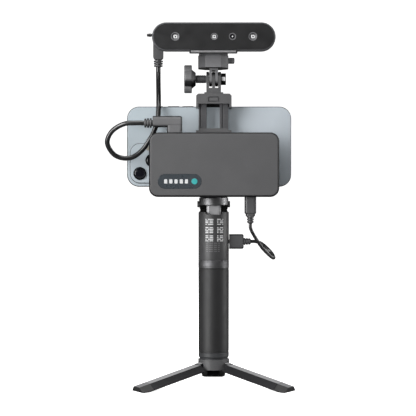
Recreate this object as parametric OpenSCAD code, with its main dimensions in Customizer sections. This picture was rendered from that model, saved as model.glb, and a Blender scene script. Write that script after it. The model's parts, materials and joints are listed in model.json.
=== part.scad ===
// Handheld 3-D scanner on a phone clamp, a battery handle and a folding tripod.
// The origin is the mouth of the tripod socket, on the handle's axis. The optics face -Y.

/* [Handle] */
// Outer radius of the battery handle
handle_r = 13.2; // [12.9:0.1:13.3]
// Height of the soft grip
grip_h = 73.3; // [70:0.1:76]
// Height of the upper tube that holds the electronics
tube_h = 41.8; // [40:0.1:44]

/* [Tripod] */
// Angle of an open leg below the horizontal
leg_droop = 14.5; // [13:0.1:16]
// Length of a leg from its pin to its foot
leg_len = 67.6; // [62:0.1:72]

/* [Battery box] */
// Width of the battery box
box_w = 110.7; // [108:0.1:114]
// Height of the battery box
box_h = 54.8; // [53:0.1:57]
// Thickness of the battery box
box_t = 17; // [16:0.5:18]

/* [Phone] */
// Long side of the phone
phone_w = 143.5; // [138:0.1:150]
// Short side of the phone
phone_h = 70; // [69:0.1:71]
// Thickness of the phone
phone_t = 8; // [7.5:0.1:8.5]

/* [Scanner] */
// Width of the scanner bar
bar_w = 105.6; // [102:0.1:110]
// Height of the scanner bar
bar_h = 24.7; // [24:0.1:25]
// Depth of the scanner bar
bar_d = 48; // [46:0.5:49]

/* [Hidden] */
$fn = 64;

// Small gaps: GAP parts pieces that only touch, RUN is the play round a pin.
GAP = 0.05;
RUN = 0.05;
CUT = 1;          // how far a cutting solid runs past a face
FAR = 200;        // a size larger than any part

// Tripod crown, in millimetres above the socket's mouth
socket_r = 3.2;
socket_h = 6;
crown_r = 13.55;
hub_r = 13.3;
rim_z0 = 4.3;
rim_z1 = 8.8;
ground_z = -15.2;
leg_azimuths = [90, 210, 330];
leg_pivot_r = 9.3;
leg_pivot_z = 3.3;
leg_pin_r = 1.2;
leg_pin_len = 15;
knuckle_r = 3.4;
knuckle_w = 8;
slot_w = 8.2;
leg_top = 2.8;         // height of the crown above the pin
leg_crown_w = 10;
leg_side_w = 21.6;
leg_side_v = -1.9;
leg_base_w = 16;
leg_flat = 5.9;        // distance of a folded leg's flat side from the handle's axis
leg_root = 5.9;        // where the full section starts, from the pin
foot_len = 10.5;       // rubber part at the leg's end

// Handle, from the crown up
cap_z0 = rim_z1 + GAP;
cap_z1 = 14.7;
grip_z1 = cap_z1 + grip_h;
ring_h = 6.6;
tube_z0 = grip_z1 + ring_h;
tube_z1 = tube_z0 + tube_h;
handle_wall = 1.7;
stud_r = 3;

// Tilt head
tilt_z = tube_z1 + 6.7;
tilt_cap_r = 12.75;
tilt_cap_z0 = tilt_z - 0.9;
tilt_cap_z1 = tilt_z + 6.2;
neck_r = 6.8;
cheek_r = 5.6;
neck_z0 = tube_z1 - 2.4;
tilt_pin_r = 1.6;

// Battery box and clamp; heights run from the tilt cap
box_x = 0.25;
box_y0 = -30;
box_y1 = box_y0 + box_t;
box_z0 = tilt_cap_z1 - 0.1;
box_z1 = box_z0 + box_h;
box_zc = (box_z0 + box_z1) / 2;
box_r = 7.5;
box_wall = 1.8;
clamp_w = 30.6;
clamp_y0 = -10.8;
clamp_y1 = 3.6;
clamp_z0 = tilt_cap_z1 + 3.2;
clamp_z1 = box_z1 + 4.6;
phone_y0 = 4;
phone_y1 = phone_y0 + phone_t;
phone_x0 = -75.7;
phone_xc = phone_x0 + phone_w / 2;
phone_z0 = 158.4;
phone_z1 = phone_z0 + phone_h;
phone_zc = (phone_z0 + phone_z1) / 2;
phone_r = 10.5;
lip_y1 = 16;           // back of the jaws' lips
pad_t = 1.3;
jaw_z0 = phone_z1 + pad_t + 0.1;
jaw_z1 = jaw_z0 + 8.7;
jaw_xc = 0.1;
rail_y0 = -7.3;
rail_y1 = -1.5;
rail_x = [[-13.0, -6.1], [5.2, 12.5]];

// Hinge under the scanner
hinge_z = jaw_z1 + 13.3;
prong_r = 6.4;
screw_r = 2.5;
low_prongs = [[-6.4, -4.05], [-1.3, 1.1], [3.9, 6.3]];
high_prongs = [[-3.85, -1.5], [1.3, 3.7]];
base_z0 = hinge_z + 9.1;
base_z1 = hinge_z + 19.85;
plate_z1 = hinge_z + 21.7;

// Scanner bar
bar_z = hinge_z + 21.72 + bar_h / 2;
bar_y0 = -24;
bar_y1 = bar_y0 + bar_d;
bar_y_mid = bar_y0 + 5;
bar_r = bar_h / 2;
bar_c = bar_w / 2 - bar_r;     // where the round ends are centred
bar_r_back = bar_r - 2.85;
bar_wall = 1.6;
optic_x = [-32.9, 0.3, 15.9, 33.3];
optic_r = [3.6, 2.9, 3.0, 3.6];
optic_z = bar_z + 0.2;

// ---------- shared shapes ----------

// Rectangle with round corners, centred
module round_rect(w, h, r) {
    square([w - 2 * r, h], center = true);
    square([w, h - 2 * r], center = true);
    for (sx = [-1, 1], sy = [-1, 1])
        translate([sx * (w / 2 - r), sy * (h / 2 - r)]) circle(r);
}

// A flat profile in X and Z, made solid from y0 to y1
module along_y(y0, y1) {
    translate([0, y1, 0]) rotate([90, 0, 0]) linear_extrude(y1 - y0) children();
}

// A profile in Y (drawn x) and Z (drawn y), made solid from x0 to x1
module along_x(x0, x1) {
    translate([x0, 0, 0]) rotate([90, 0, 90]) linear_extrude(x1 - x0) children();
}

// Box from one corner to the other
module box(a, b) {
    translate(a) cube(b - a);
}

// Cylinder along X from x0 to x1 through y, z
module rod_x(x0, x1, y, z, r) {
    translate([x0, y, z]) rotate([0, 90, 0]) cylinder(h = x1 - x0, r = r);
}

// Cylinder along Y from y0 to y1 through x, z
module rod_y(y0, y1, x, z, r) {
    translate([x, y0, z]) rotate([-90, 0, 0]) cylinder(h = y1 - y0, r = r);
}

// Cylinder along Z from z0 to z1 through x, y
module rod_z(z0, z1, x, y, r) {
    translate([x, y, z0]) cylinder(h = z1 - z0, r = r);
}

// Pill outline, lying along X
module pill(half_centres, r) {
    square([2 * half_centres, 2 * r], center = true);
    for (s = [-1, 1]) translate([s * half_centres, 0]) circle(r);
}

// Points of a smooth curve through all of p, n to a stretch
function spline_point(a, b, c, d, t) = 0.5 * (
    2 * b + (c - a) * t + (2 * a - 5 * b + 4 * c - d) * t * t + (3 * b - a - 3 * c + d) * t * t * t);
function spline(p, n) = [
    for (i = [0 : len(p) - 2], j = [0 : n - 1])
        spline_point(p[max(i - 1, 0)], p[i], p[i + 1], p[min(i + 2, len(p) - 1)], j / n),
    p[len(p) - 1]
];
function unit(v) = v / norm(v);
function heading(p, i) = unit(p[min(i + 1, len(p) - 1)] - p[max(i - 1, 0)]);

// Round cord of radius r along the points p, with its rings turned from the axis ref
module cord(p, r, sides, ref) {
    rings = len(p);
    points = [
        for (i = [0 : rings - 1])
            let (t = heading(p, i), u = unit(cross(t, ref)), v = cross(t, u))
            for (k = [0 : sides - 1])
                p[i] + r * (cos(360 * k / sides) * u + sin(360 * k / sides) * v)
    ];
    walls = [
        for (i = [0 : rings - 2], k = [0 : sides - 1], half = [0, 1])
            let (a = i * sides + k, b = i * sides + (k + 1) % sides)
            half == 0 ? [a, a + sides, b + sides] : [a, b + sides, b]
    ];
    first = [for (k = [0 : sides - 1]) k];
    last = [for (k = [sides - 1 : -1 : 0]) (rings - 1) * sides + k];
    polyhedron(points = points, faces = concat(walls, [first, last]), convexity = 10);
}

// ---------- tripod ----------

// Moves a leg's own frame (x along the leg, z outward when folded) to its open place
module at_leg(azimuth) {
    rotate([0, 0, azimuth]) translate([leg_pivot_r, 0, leg_pivot_z]) rotate([0, leg_droop, 0]) children();
}

// Section of a leg: flat crown, steep sides and a flat underside; three of them fold into a round bundle
module leg_section() {
    polygon([
        [-leg_crown_w / 2, leg_top],
        [leg_crown_w / 2, leg_top],
        [leg_side_w / 2, leg_side_v],
        [leg_base_w / 2, leg_flat - leg_pivot_r],
        [-leg_base_w / 2, leg_flat - leg_pivot_r],
        [-leg_side_w / 2, leg_side_v]
    ]);
}

module tripod_crown() {
    color([0.10, 0.10, 0.11]) difference() {
        union() {
            rod_z(0, rim_z0, 0, 0, hub_r);
            rod_z(rim_z0, rim_z1, 0, 0, crown_r);
            rod_z(rim_z1, cap_z1 - 1, 0, 0, stud_r);
        }
        rod_z(-CUT, socket_h, 0, 0, socket_r);
        for (az = leg_azimuths) rotate([0, 0, az]) {
            translate([leg_pivot_r - knuckle_r - 0.6, -slot_w / 2, -CUT])
                cube([hub_r, slot_w, leg_pivot_z + knuckle_r + 0.3 + CUT]);
            translate([leg_pivot_r, 0, leg_pivot_z]) rotate([90, 0, 0])
                cylinder(h = leg_pin_len + 2 * GAP, r = leg_pin_r + RUN / 5, center = true);
        }
    }
}

module leg_pins() {
    color([0.6, 0.6, 0.62]) for (az = leg_azimuths)
        rotate([0, 0, az]) translate([leg_pivot_r, 0, leg_pivot_z]) rotate([90, 0, 0])
            cylinder(h = leg_pin_len, r = leg_pin_r, center = true);
}

module leg(azimuth) {
    pocket_w = 11;
    pocket_h = 4.5;
    peg_len = 5;
    metal_end = leg_len - foot_len;
    color([0.13, 0.13, 0.14]) at_leg(azimuth) difference() {
        union() {
            along_x(leg_root, metal_end) leg_section();
            rotate([90, 0, 0]) cylinder(h = knuckle_w, r = knuckle_r, center = true);
            box([0, -knuckle_w / 2, -knuckle_r], [leg_root + CUT, knuckle_w / 2, knuckle_r]);
        }
        rotate([90, 0, 0]) cylinder(h = 2 * knuckle_w, r = leg_pin_r + RUN, center = true);
        box([leg_root + 6, -pocket_w / 2, -FAR], [metal_end - 2 * peg_len, pocket_w / 2, pocket_h - 4]);
        rod_x(metal_end - peg_len - GAP, metal_end + CUT, 0, 0, 2 + GAP);
    }
}

module foot(azimuth) {
    metal_end = leg_len - foot_len;
    peg_len = 5;
    color([0.05, 0.05, 0.05]) intersection() {
        at_leg(azimuth) union() {
            along_x(metal_end + GAP, leg_len) leg_section();
            rod_x(metal_end - peg_len, metal_end + CUT, 0, 0, 2);
        }
        translate([-FAR / 2, -FAR / 2, ground_z]) cube(FAR);
    }
}

module leg_back() { leg(leg_azimuths[0]); }
module leg_left() { leg(leg_azimuths[1]); }
module leg_right() { leg(leg_azimuths[2]); }
module foot_back() { foot(leg_azimuths[0]); }
module foot_left() { foot(leg_azimuths[1]); }
module foot_right() { foot(leg_azimuths[2]); }

// ---------- battery handle ----------

module handle_bottom_cap() {
    neck = handle_r - 0.9;
    color([0.07, 0.07, 0.08]) difference() {
        rotate_extrude() polygon([
            [stud_r + GAP, cap_z0],
            [neck, cap_z0],
            [neck, cap_z0 + 1.3],
            [handle_r - 0.5, cap_z0 + 1.3],
            [handle_r, cap_z0 + 1.9],
            [handle_r, cap_z1],
            [stud_r + GAP, cap_z1]
        ]);
    }
}

module grip_sleeve() {
    color([0.16, 0.16, 0.17]) difference() {
        rod_z(cap_z1 + GAP, grip_z1, 0, 0, handle_r);
        rod_z(cap_z1 - CUT, grip_z1 + CUT, 0, 0, handle_r - handle_wall);
    }
}

module battery_cell() {
    cell_r = 9.2;
    color([0.2, 0.4, 0.3]) rod_z(cap_z1 + 2, cap_z1 + 67, 0, 0, cell_r);
}

module ring_band() {
    color([0.35, 0.35, 0.36]) difference() {
        rod_z(grip_z1 + GAP, tube_z0 - GAP, 0, 0, handle_r + 0.05);
        rod_z(grip_z1 - CUT, tube_z0 + CUT, 0, 0, handle_r - handle_wall);
    }
}

module handle_tube() {
    top_plate = 2;
    notch_w = 2 * neck_r + 0.4;
    port_z = 110.7;
    saddle_x = 12.2;
    saddle_y = 5;
    saddle_z = tilt_z - 3.8;
    color([0.12, 0.12, 0.13]) difference() {
        union() {
            difference() {
                rod_z(tube_z0, tube_z1, 0, 0, handle_r);
                rod_z(tube_z0 - CUT, neck_z0 - top_plate, 0, 0, handle_r - handle_wall);
                rod_z(neck_z0, tube_z1 + CUT, 0, 0, handle_r - handle_wall);
            }
            intersection() {
                difference() {
                    box([-saddle_x, -saddle_y, neck_z0 - top_plate / 2], [saddle_x, saddle_y, saddle_z]);
                    box([-neck_r - 0.4, -FAR, neck_z0 - top_plate], [neck_r + 0.4, FAR, FAR]);
                }
                rod_z(tube_z0, saddle_z, 0, 0, tilt_cap_r);
            }
        }
        rod_x(-FAR, FAR, 0, tilt_z, cheek_r + 0.15);
        box([-notch_w / 2, -FAR, neck_z0], [notch_w / 2, FAR, tube_z1 + CUT]);
        along_x(0, FAR) translate([0, port_z]) round_rect(7.2, 4.2, 2);
        rod_y(0, FAR, 0, tube_z0 + 24, 3.6);
    }
}

module handle_circuit_board() {
    color([0.1, 0.35, 0.2]) box([-7.5, 2, tube_z0 + 3], [7.5, 3.6, neck_z0 - 4]);
}

module handle_power_button() {
    button_r = 3.5;
    color([0.3, 0.3, 0.32]) rod_y(handle_r - 4.5, handle_r + 0.7, 0, tube_z0 + 24, button_r);
}

module tilt_neck() {
    color([0.45, 0.45, 0.47]) difference() {
        union() {
            rod_z(neck_z0 + GAP / 5, tilt_cap_z0, 0, 0, neck_r);
            intersection() {
                rod_x(-neck_r, neck_r, 0, tilt_z, cheek_r);
                rod_z(neck_z0, tilt_cap_z1, 0, 0, neck_r);
            }
        }
        rod_x(-FAR, FAR, 0, tilt_z, tilt_pin_r + RUN);
    }
}

module handle_plug() {
    port_z = 110.7;
    color([0.07, 0.07, 0.08]) union() {
        along_x(handle_r + 0.3, 26) translate([0, port_z]) round_rect(7.4, 12.8, 2);
        along_x(handle_r - 5, handle_r + 0.4) translate([0, port_z]) round_rect(6.8, 3.6, 1.7);
        for (i = [0 : 2]) rod_x(25.9 + 2.1 * i, 27.6 + 2.1 * i, 0, port_z, 3.05 - 0.15 * i);
        rod_x(25.9, 32.2, 0, port_z, 2.2);
    }
}

// The short cable leaves the box plug downward, turns back and ends in the handle's plug
module usb_cable() {
    path = [
        [31.2, -22, 126.4], [31.5, -21.9, 122.3], [34.0, -21.5, 117], [41.2, -20, 106],
        [49.6, -14.5, 97.7], [51.9, -8.8, 97.4], [48.9, -2.4, 102.4], [41.8, -0.4, 108.8],
        [36.4, 0, 110.6], [32.25, 0, 110.7]
    ];
    color([0.09, 0.09, 0.1]) cord(spline(path, 5), 1.45, 10, [0, 1, 0.1]);
}

// ---------- tilt head, clamp and battery box ----------

module tilt_cap() {
    cheek_x0 = neck_r + 0.4;
    cheek_x1 = 11.4;
    cavity_y = 8.4;
    pin_head_x = 12.3;
    color([0.12, 0.12, 0.13]) difference() {
        union() {
            rotate_extrude() polygon([
                [0, tilt_cap_z0],
                [tilt_cap_r, tilt_cap_z0],
                [tilt_cap_r, tilt_cap_z1 - 1.6],
                [tilt_cap_r - 0.5, tilt_cap_z1 - 0.5],
                [tilt_cap_r - 1.6, tilt_cap_z1],
                [0, tilt_cap_z1]
            ]);
            for (s = [-1, 1])
                rod_x(min(s * cheek_x0, s * cheek_x1), max(s * cheek_x0, s * cheek_x1), 0, tilt_z, cheek_r);
        }
        box([-cheek_x0 + 0.2, -cavity_y, tilt_z - 8], [cheek_x0 - 0.2, cavity_y, tilt_cap_z1 + CUT]);
        rod_x(-FAR, FAR, 0, tilt_z, tilt_pin_r + RUN / 5);
        for (s = [-1, 1]) rod_x(s > 0 ? pin_head_x : -FAR, s > 0 ? FAR : -pin_head_x, 0, tilt_z, 2.8);
    }
}

module tilt_pin() {
    head_r = 2.75;
    head_x0 = 12.35;
    head_x1 = 14.3;
    color([0.2, 0.2, 0.21]) union() {
        rod_x(-head_x0 - GAP, head_x0 + GAP, 0, tilt_z, tilt_pin_r);
        rod_x(head_x0, head_x1, 0, tilt_z, head_r);
        rod_x(-head_x1, -head_x0, 0, tilt_z, head_r);
    }
}

module lower_jaw() {
    shelf_z1 = phone_z0 - pad_t - 0.1;
    color([0.1, 0.1, 0.11]) union() {
        box([-11, -10, tilt_cap_z1 + GAP], [11, 10, clamp_z0]);
        box([-clamp_w / 2, -10, clamp_z0], [clamp_w / 2, lip_y1, shelf_z1]);
        box([-clamp_w / 2, phone_y1 + 0.6, shelf_z1 - CUT], [clamp_w / 2, lip_y1, phone_z0 + 5]);
    }
}

module lower_jaw_pad() {
    shelf_z1 = phone_z0 - pad_t - 0.1;
    color([0.05, 0.05, 0.05])
        box([-clamp_w / 2 + 1, phone_y0, shelf_z1 + GAP], [clamp_w / 2 - 1, phone_y1 + 0.3, phone_z0 - GAP]);
}

// Rails' channels and the spring's channel run down from the clamp body's top
module clamp_body() {
    floor_z = phone_z0 - pad_t - 0.1 + GAP;
    top_w = 25.4;
    color([0.12, 0.12, 0.13]) difference() {
        union() {
            box([-clamp_w / 2, clamp_y0, floor_z], [clamp_w / 2, clamp_y1, clamp_z1 - 1.8]);
            box([-top_w / 2, clamp_y0 + 1, clamp_z1 - 2.8], [top_w / 2, clamp_y1 - 1, clamp_z1]);
        }
        for (x = rail_x) box([x[0] - 0.1, rail_y0 - 0.1, floor_z + 3], [x[1] + 0.1, rail_y1 + 0.1, FAR * 2]);
        rod_z(floor_z + 3, clamp_z1 - 6, -0.45, -4.4, 3.4);
    }
}

module clamp_spring() {
    coil_r = 2.4;
    wire_r = 0.35;
    turns = 14;
    z0 = phone_z0 + 4;
    z1 = clamp_z1 - 8;
    steps = 10 * turns;
    path = [for (i = [0 : steps])
        [-0.45 + coil_r * cos(36 * i), -4.4 + coil_r * sin(36 * i), z0 + (z1 - z0) * i / steps]];
    color([0.7, 0.7, 0.72]) cord(path, wire_r, 5, [0, 0, 1]);
}

module box_mount_plate() {
    color([0.1, 0.1, 0.11]) along_y(box_y1 + GAP, clamp_y0 - GAP)
        translate([0, box_zc]) round_rect(36, 30, 3);
}

// Everything in the battery box is set out from the middle of its outline
module box_outline(inset) {
    translate([box_x, box_zc]) round_rect(box_w - 2 * inset, box_h - 2 * inset, box_r - inset);
}

module box_back_shell() {
    split = box_y1 - 6;
    color([0.2, 0.2, 0.21]) difference() {
        union() {
            along_y(split, box_y1 - 1.2) box_outline(0);
            along_y(split, box_y1) box_outline(1.2);
        }
        along_y(split - CUT, box_y1 - 2) box_outline(box_wall);
        rod_z(box_z1 - 3, box_z1 + CUT, box_x + 38, box_y1 - 8.5, 3.1);
    }
}

module box_front_shell() {
    split = box_y1 - 6;
    badge_x = -29;
    badge_z = box_z0 + 13.15;
    color([0.36, 0.36, 0.38]) difference() {
        union() {
            along_y(box_y0, split - GAP) box_outline(1);
            along_y(box_y0 + 1, split - GAP) box_outline(0);
        }
        along_y(box_y0 + 2, split + CUT) box_outline(box_wall);
        along_y(box_y0 - CUT, box_y0 + 0.9) translate([badge_x, badge_z]) pill(12.3, 6.35);
        rod_z(box_z1 - 3, box_z1 + CUT, box_x + 38, box_y1 - 8.5, 3.1);
        box([-35.2, -25.2, box_z1 - 3], [-29.8, -17.8, box_z1 + CUT]);
        box([27.4, -25.2, box_z0 - CUT], [35, -18.8, box_z0 + 3]);
    }
}

module box_badge() {
    badge_x = -29;
    badge_z = box_z0 + 13.15;
    color([0.18, 0.18, 0.19]) along_y(box_y0 + 0.1, box_y0 + 0.85) translate([badge_x, badge_z]) pill(12.3, 6.3);
}

module box_battery() {
    color([0.25, 0.3, 0.4]) along_y(box_y1 - 10, box_y1 - 2.2)
        translate([box_x - 6, box_zc - 2]) round_rect(60, 36, 3);
}

module box_circuit_board() {
    color([0.1, 0.35, 0.2]) union() {
        along_y(box_y0 + 4, box_y0 + 5.6) translate([box_x, box_zc]) round_rect(104, 48, 5);
        box([-36, box_y0 + 5, box_z1 - 11], [-29, box_y0 + 11, box_z1 - 5]);
        box([27, box_y0 + 5, box_z0 + 5], [35, box_y0 + 11, box_z0 + 11]);
    }
}

module box_power_button() {
    color([0.1, 0.1, 0.11]) rod_z(box_z1 - 2.4, box_z1 - 0.2, box_x + 38, box_y1 - 8.5, 3);
}

// Right-angle plug on top of the battery box
module box_top_plug() {
    plug_y = -21.5;
    plug_z0 = 208.8;
    plug_z1 = 218.3;
    color([0.06, 0.06, 0.07]) union() {
        translate([0, plug_y, 0]) along_x(-52.3, -27.2)
            translate([0, (plug_z0 + plug_z1) / 2]) round_rect(9, plug_z1 - plug_z0, 3);
        translate([-33.5, plug_y, box_z1 + GAP]) linear_extrude(plug_z0 - box_z1 + 1) round_rect(13, 9, 2.5);
        box([-34.6, plug_y - 2.4, box_z1 - 4.5], [-30.4, plug_y + 2.4, box_z1 + CUT]);
        rod_x(-59.6, -52, plug_y, 212.3, 2.5);
        for (i = [0 : 2]) rod_x(-54.4 - 2.3 * i, -52.6 - 2.3 * i, plug_y, 212.3, 4.1 - 0.1 * i);
    }
}

module box_bottom_plug() {
    plug_x = 31.2;
    plug_y = -22;
    body_z = 134.5;
    color([0.06, 0.06, 0.07]) union() {
        translate([plug_x, plug_y, body_z]) linear_extrude(box_z0 - body_z - GAP) round_rect(10, 7, 2.6);
        translate([plug_x, plug_y, body_z - 2]) linear_extrude(2 + CUT) round_rect(8, 6, 2.4);
        box([plug_x - 3.4, plug_y - 2.4, box_z0 - CUT], [plug_x + 3.4, plug_y + 2.4, box_z0 + 4.5]);
        for (i = [0 : 2]) rod_z(127.2 + 2.1 * i, 128.8 + 2.1 * i, plug_x, plug_y, 2.8 + 0.1 * i);
        rod_z(126.6, body_z, plug_x, plug_y, 2.1);
    }
}

// The long cable loops out to the left, passes behind its own plug and climbs to the scanner
module scanner_cable() {
    path = [
        [-59.75, -21.5, 212.3], [-66, -21.3, 212.4], [-77, -19.8, 211.6], [-87.5, -15.5, 205.5],
        [-91.6, -12.5, 195.5], [-85, -9.5, 185.2], [-73, -8, 182.9], [-62.4, -7.5, 189.2],
        [-53.6, -7.5, 202], [-49, -6.2, 214], [-47.9, -2.4, 226], [-48.2, 7, 239.5],
        [-48.9, 21, 251.5], [-49.2, 28.3, 259.5], [-49.2, 28.7, 264.8]
    ];
    color([0.07, 0.07, 0.08]) cord(spline(path, 4), 2.1, 10, [0, 1, 0.1]);
}

// ---------- phone ----------

module phone_outline(inset) {
    translate([phone_xc, phone_zc]) round_rect(phone_w - 2 * inset, phone_h - 2 * inset, phone_r - inset);
}

// Each key: distance of its ends from the phone's left edge
action_key = [29.8, 31];
up_key = [35.5, 45.8];
down_key = [48.1, 58.2];
key_y = phone_y0 + phone_t / 2;
key_w = 3.2;

module key_slot(key) {
    box([phone_x0 + key[0] - 0.1, key_y - key_w / 2 - 0.1, phone_z1 - 2.4],
        [phone_x0 + key[1] + 0.1, key_y + key_w / 2 + 0.1, phone_z1 + CUT]);
}

module phone_key(key) {
    color([0.6, 0.62, 0.65])
        box([phone_x0 + key[0], key_y - key_w / 2, phone_z1 - 1.8], [phone_x0 + key[1], key_y + key_w / 2, phone_z1 + 0.45]);
}

module phone_frame() {
    color([0.55, 0.58, 0.62]) difference() {
        along_y(phone_y0 + 0.8, phone_y1 - 0.8) phone_outline(0);
        along_y(phone_y0 + 0.7, phone_y0 + 1.2) phone_outline(1.2);
        along_y(phone_y1 - 1.2, phone_y1) phone_outline(1.2);
        for (key = [action_key, up_key, down_key]) key_slot(key);
    }
}

module phone_back_glass() {
    color([0.66, 0.71, 0.75]) union() {
        along_y(phone_y0, phone_y0 + 0.75) phone_outline(0.3);
        along_y(phone_y0 + 0.5, phone_y0 + 1.15) phone_outline(1.3);
    }
}

module phone_screen() {
    color([0.03, 0.03, 0.04]) union() {
        along_y(phone_y1 - 0.75, phone_y1) phone_outline(0.3);
        along_y(phone_y1 - 1.15, phone_y1 - 0.5) phone_outline(1.3);
    }
}

island_w = 33;
island_h = 35;
island_x = phone_x0 + 2.7 + island_w / 2;
island_z = phone_z0 + 2.9 + island_h / 2;
island_y = phone_y0 - 1.6;
lens_r = 5.6;
lens_at = [[-7.9, -8.9], [2.6, 2.5]];

module phone_camera_island() {
    color([0.6, 0.65, 0.7]) difference() {
        along_y(island_y, phone_y0 - GAP / 5) translate([island_x, island_z]) round_rect(island_w, island_h, 8.5);
        for (p = lens_at) rod_y(island_y - CUT, island_y + 1.1, island_x + p[0], island_z + p[1], lens_r + GAP);
    }
}

module phone_lenses() {
    color([0.04, 0.04, 0.05]) for (p = lens_at) difference() {
        rod_y(island_y - 1.2, island_y + 1, island_x + p[0], island_z + p[1], lens_r);
        rod_y(island_y - 2, island_y - 0.5, island_x + p[0], island_z + p[1], lens_r - 1.3);
    }
}

module volume_up_button() { phone_key(up_key); }
module volume_down_button() { phone_key(down_key); }
module action_button() { phone_key(action_key); }

// ---------- sliding upper jaw ----------

module upper_jaw() {
    chamfer = 1.7;
    half = clamp_w / 2;
    leg_w = 2;
    color([0.11, 0.11, 0.12]) difference() {
        union() {
            translate([jaw_xc, 0, 0]) along_y(clamp_y0, lip_y1) polygon([
                [-half, jaw_z0],
                [half, jaw_z0],
                [half, jaw_z1 - chamfer],
                [half - chamfer, jaw_z1],
                [-half + chamfer, jaw_z1],
                [-half, jaw_z1 - chamfer]
            ]);
            translate([jaw_xc, 0, 0]) box([-half, phone_y1 + 0.6, jaw_z0 - 7], [half, lip_y1, jaw_z0 + CUT]);
            for (s = [-1, 1]) translate([jaw_xc + s * (half - leg_w / 2), 0, 0])
                box([-leg_w / 2, clamp_y0, jaw_z0 - 3.5], [leg_w / 2, 1, jaw_z0 + CUT]);
        }
        along_y(clamp_y0 - CUT, clamp_y0 + 1.2) translate([0, jaw_z0 + 3.75]) round_rect(9.5, 4.6, 0.8);
        for (x = rail_x) box([x[0] - GAP, rail_y0 - GAP, jaw_z0 - CUT], [x[1] + GAP, rail_y1 + GAP, jaw_z0 + 4]);
    }
}

module upper_jaw_pad() {
    color([0.05, 0.05, 0.05])
        box([-clamp_w / 2 + 1, phone_y0, phone_z1 + GAP], [clamp_w / 2 - 1, phone_y1 + 0.3, jaw_z0 - GAP]);
}

module jaw_rails() {
    groove_w = 0.9;
    groove_x = [-11.2, 7.7];
    rail_foot = phone_z0 + 6;
    color([0.14, 0.14, 0.15]) for (i = [0, 1]) difference() {
        box([rail_x[i][0], rail_y0, rail_foot], [rail_x[i][1], rail_y1, jaw_z0 + 3.9]);
        box([groove_x[i] - groove_w / 2, rail_y0 - CUT, rail_foot - CUT],
            [groove_x[i] + groove_w / 2, rail_y0 + 1, jaw_z0 - GAP]);
    }
}

module prong(span, r) {
    rod_x(span[0], span[1], 0, hinge_z, r);
}

module prong_mount() {
    flange_z = jaw_z1 + 1.4;
    slot_z = hinge_z - 8;
    nut_x1 = 10.6;
    color([0.1, 0.1, 0.11]) difference() {
        union() {
            box([-8.2, -8.2, jaw_z1 + GAP], [8.2, 8.2, flange_z]);
            box([low_prongs[0][0], -prong_r, flange_z - 0.5], [low_prongs[2][1], prong_r, slot_z]);
            for (p = low_prongs) {
                prong(p, prong_r);
                box([p[0], -prong_r, slot_z - CUT], [p[1], prong_r, hinge_z]);
            }
            prong([low_prongs[2][1] - 0.5, nut_x1], 5);
        }
        rod_x(-FAR, FAR, 0, hinge_z, screw_r + RUN);
        translate([low_prongs[2][1] + 0.4, 0, hinge_z]) rotate([0, 90, 0])
            cylinder(h = FAR, r = 4.3, $fn = 6);
    }
}

module hinge_nut() {
    color([0.75, 0.75, 0.77]) difference() {
        translate([low_prongs[2][1] + 0.5, 0, hinge_z]) rotate([0, 90, 0]) cylinder(h = 3.2, r = 4.2, $fn = 6);
        rod_x(0, FAR, 0, hinge_z, screw_r + RUN);
    }
}

// ---------- thumb screw ----------

module thumb_screw_knob() {
    x0 = -25.7;
    x1 = -19;
    hub_x1 = -15.6;
    hub_r1 = 8.4;
    hub_r2 = 5.6;
    wing_w = 9.5;
    wing_l = 24.4;
    color([0.1, 0.1, 0.11]) difference() {
        union() {
            translate([0, 0, hinge_z]) along_x(x0, x1) round_rect(wing_w, wing_l, 4.7);
            rod_x(x0, x1, 0, hinge_z, hub_r1);
            translate([x1 - CUT, 0, hinge_z]) rotate([0, 90, 0])
                cylinder(h = hub_x1 - x1 + CUT, r1 = hub_r1, r2 = hub_r2);
        }
        rod_x(x0 + 1.5, FAR, 0, hinge_z, 2 + RUN / 5);
    }
}

module thumb_screw_shank() {
    collar_x0 = -15.55;
    collar_x1 = low_prongs[0][0] - 0.1;
    color([0.3, 0.3, 0.31]) union() {
        rod_x(-24, -15.5, 0, hinge_z, 2);
        rod_x(collar_x0, collar_x1, 0, hinge_z, 3.5);
        rod_x(collar_x1 - CUT, 9.6, 0, hinge_z, screw_r);
    }
}

// ---------- scanner head ----------

module quick_release_base() {
    half_w = 13.1;
    base_x = -0.4;
    chamfer = 6.5;
    button_z = hinge_z + 16;
    color([0.1, 0.1, 0.11]) difference() {
        union() {
            translate([base_x, 0, base_z0]) linear_extrude(base_z1 - base_z0) polygon([
                [-half_w, -half_w + chamfer], [-half_w + chamfer, -half_w],
                [half_w - chamfer, -half_w], [half_w, -half_w + chamfer],
                [half_w, half_w - chamfer], [half_w - chamfer, half_w],
                [-half_w + chamfer, half_w], [-half_w, half_w - chamfer]
            ]);
            box([high_prongs[0][0], -prong_r, hinge_z + 7.1], [high_prongs[1][1], prong_r, base_z0 + CUT]);
            for (p = high_prongs) {
                prong(p, prong_r);
                box([p[0], -prong_r, hinge_z], [p[1], prong_r, hinge_z + 8]);
            }
        }
        rod_x(-FAR, FAR, 0, hinge_z, screw_r + RUN);
        along_x(5.5, FAR) translate([0, button_z]) square(5.1, center = true);
    }
}

module release_button() {
    button_z = hinge_z + 16;
    color([0.08, 0.08, 0.09]) along_x(7.6, 18) translate([0, button_z]) square(5, center = true);
}

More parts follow.
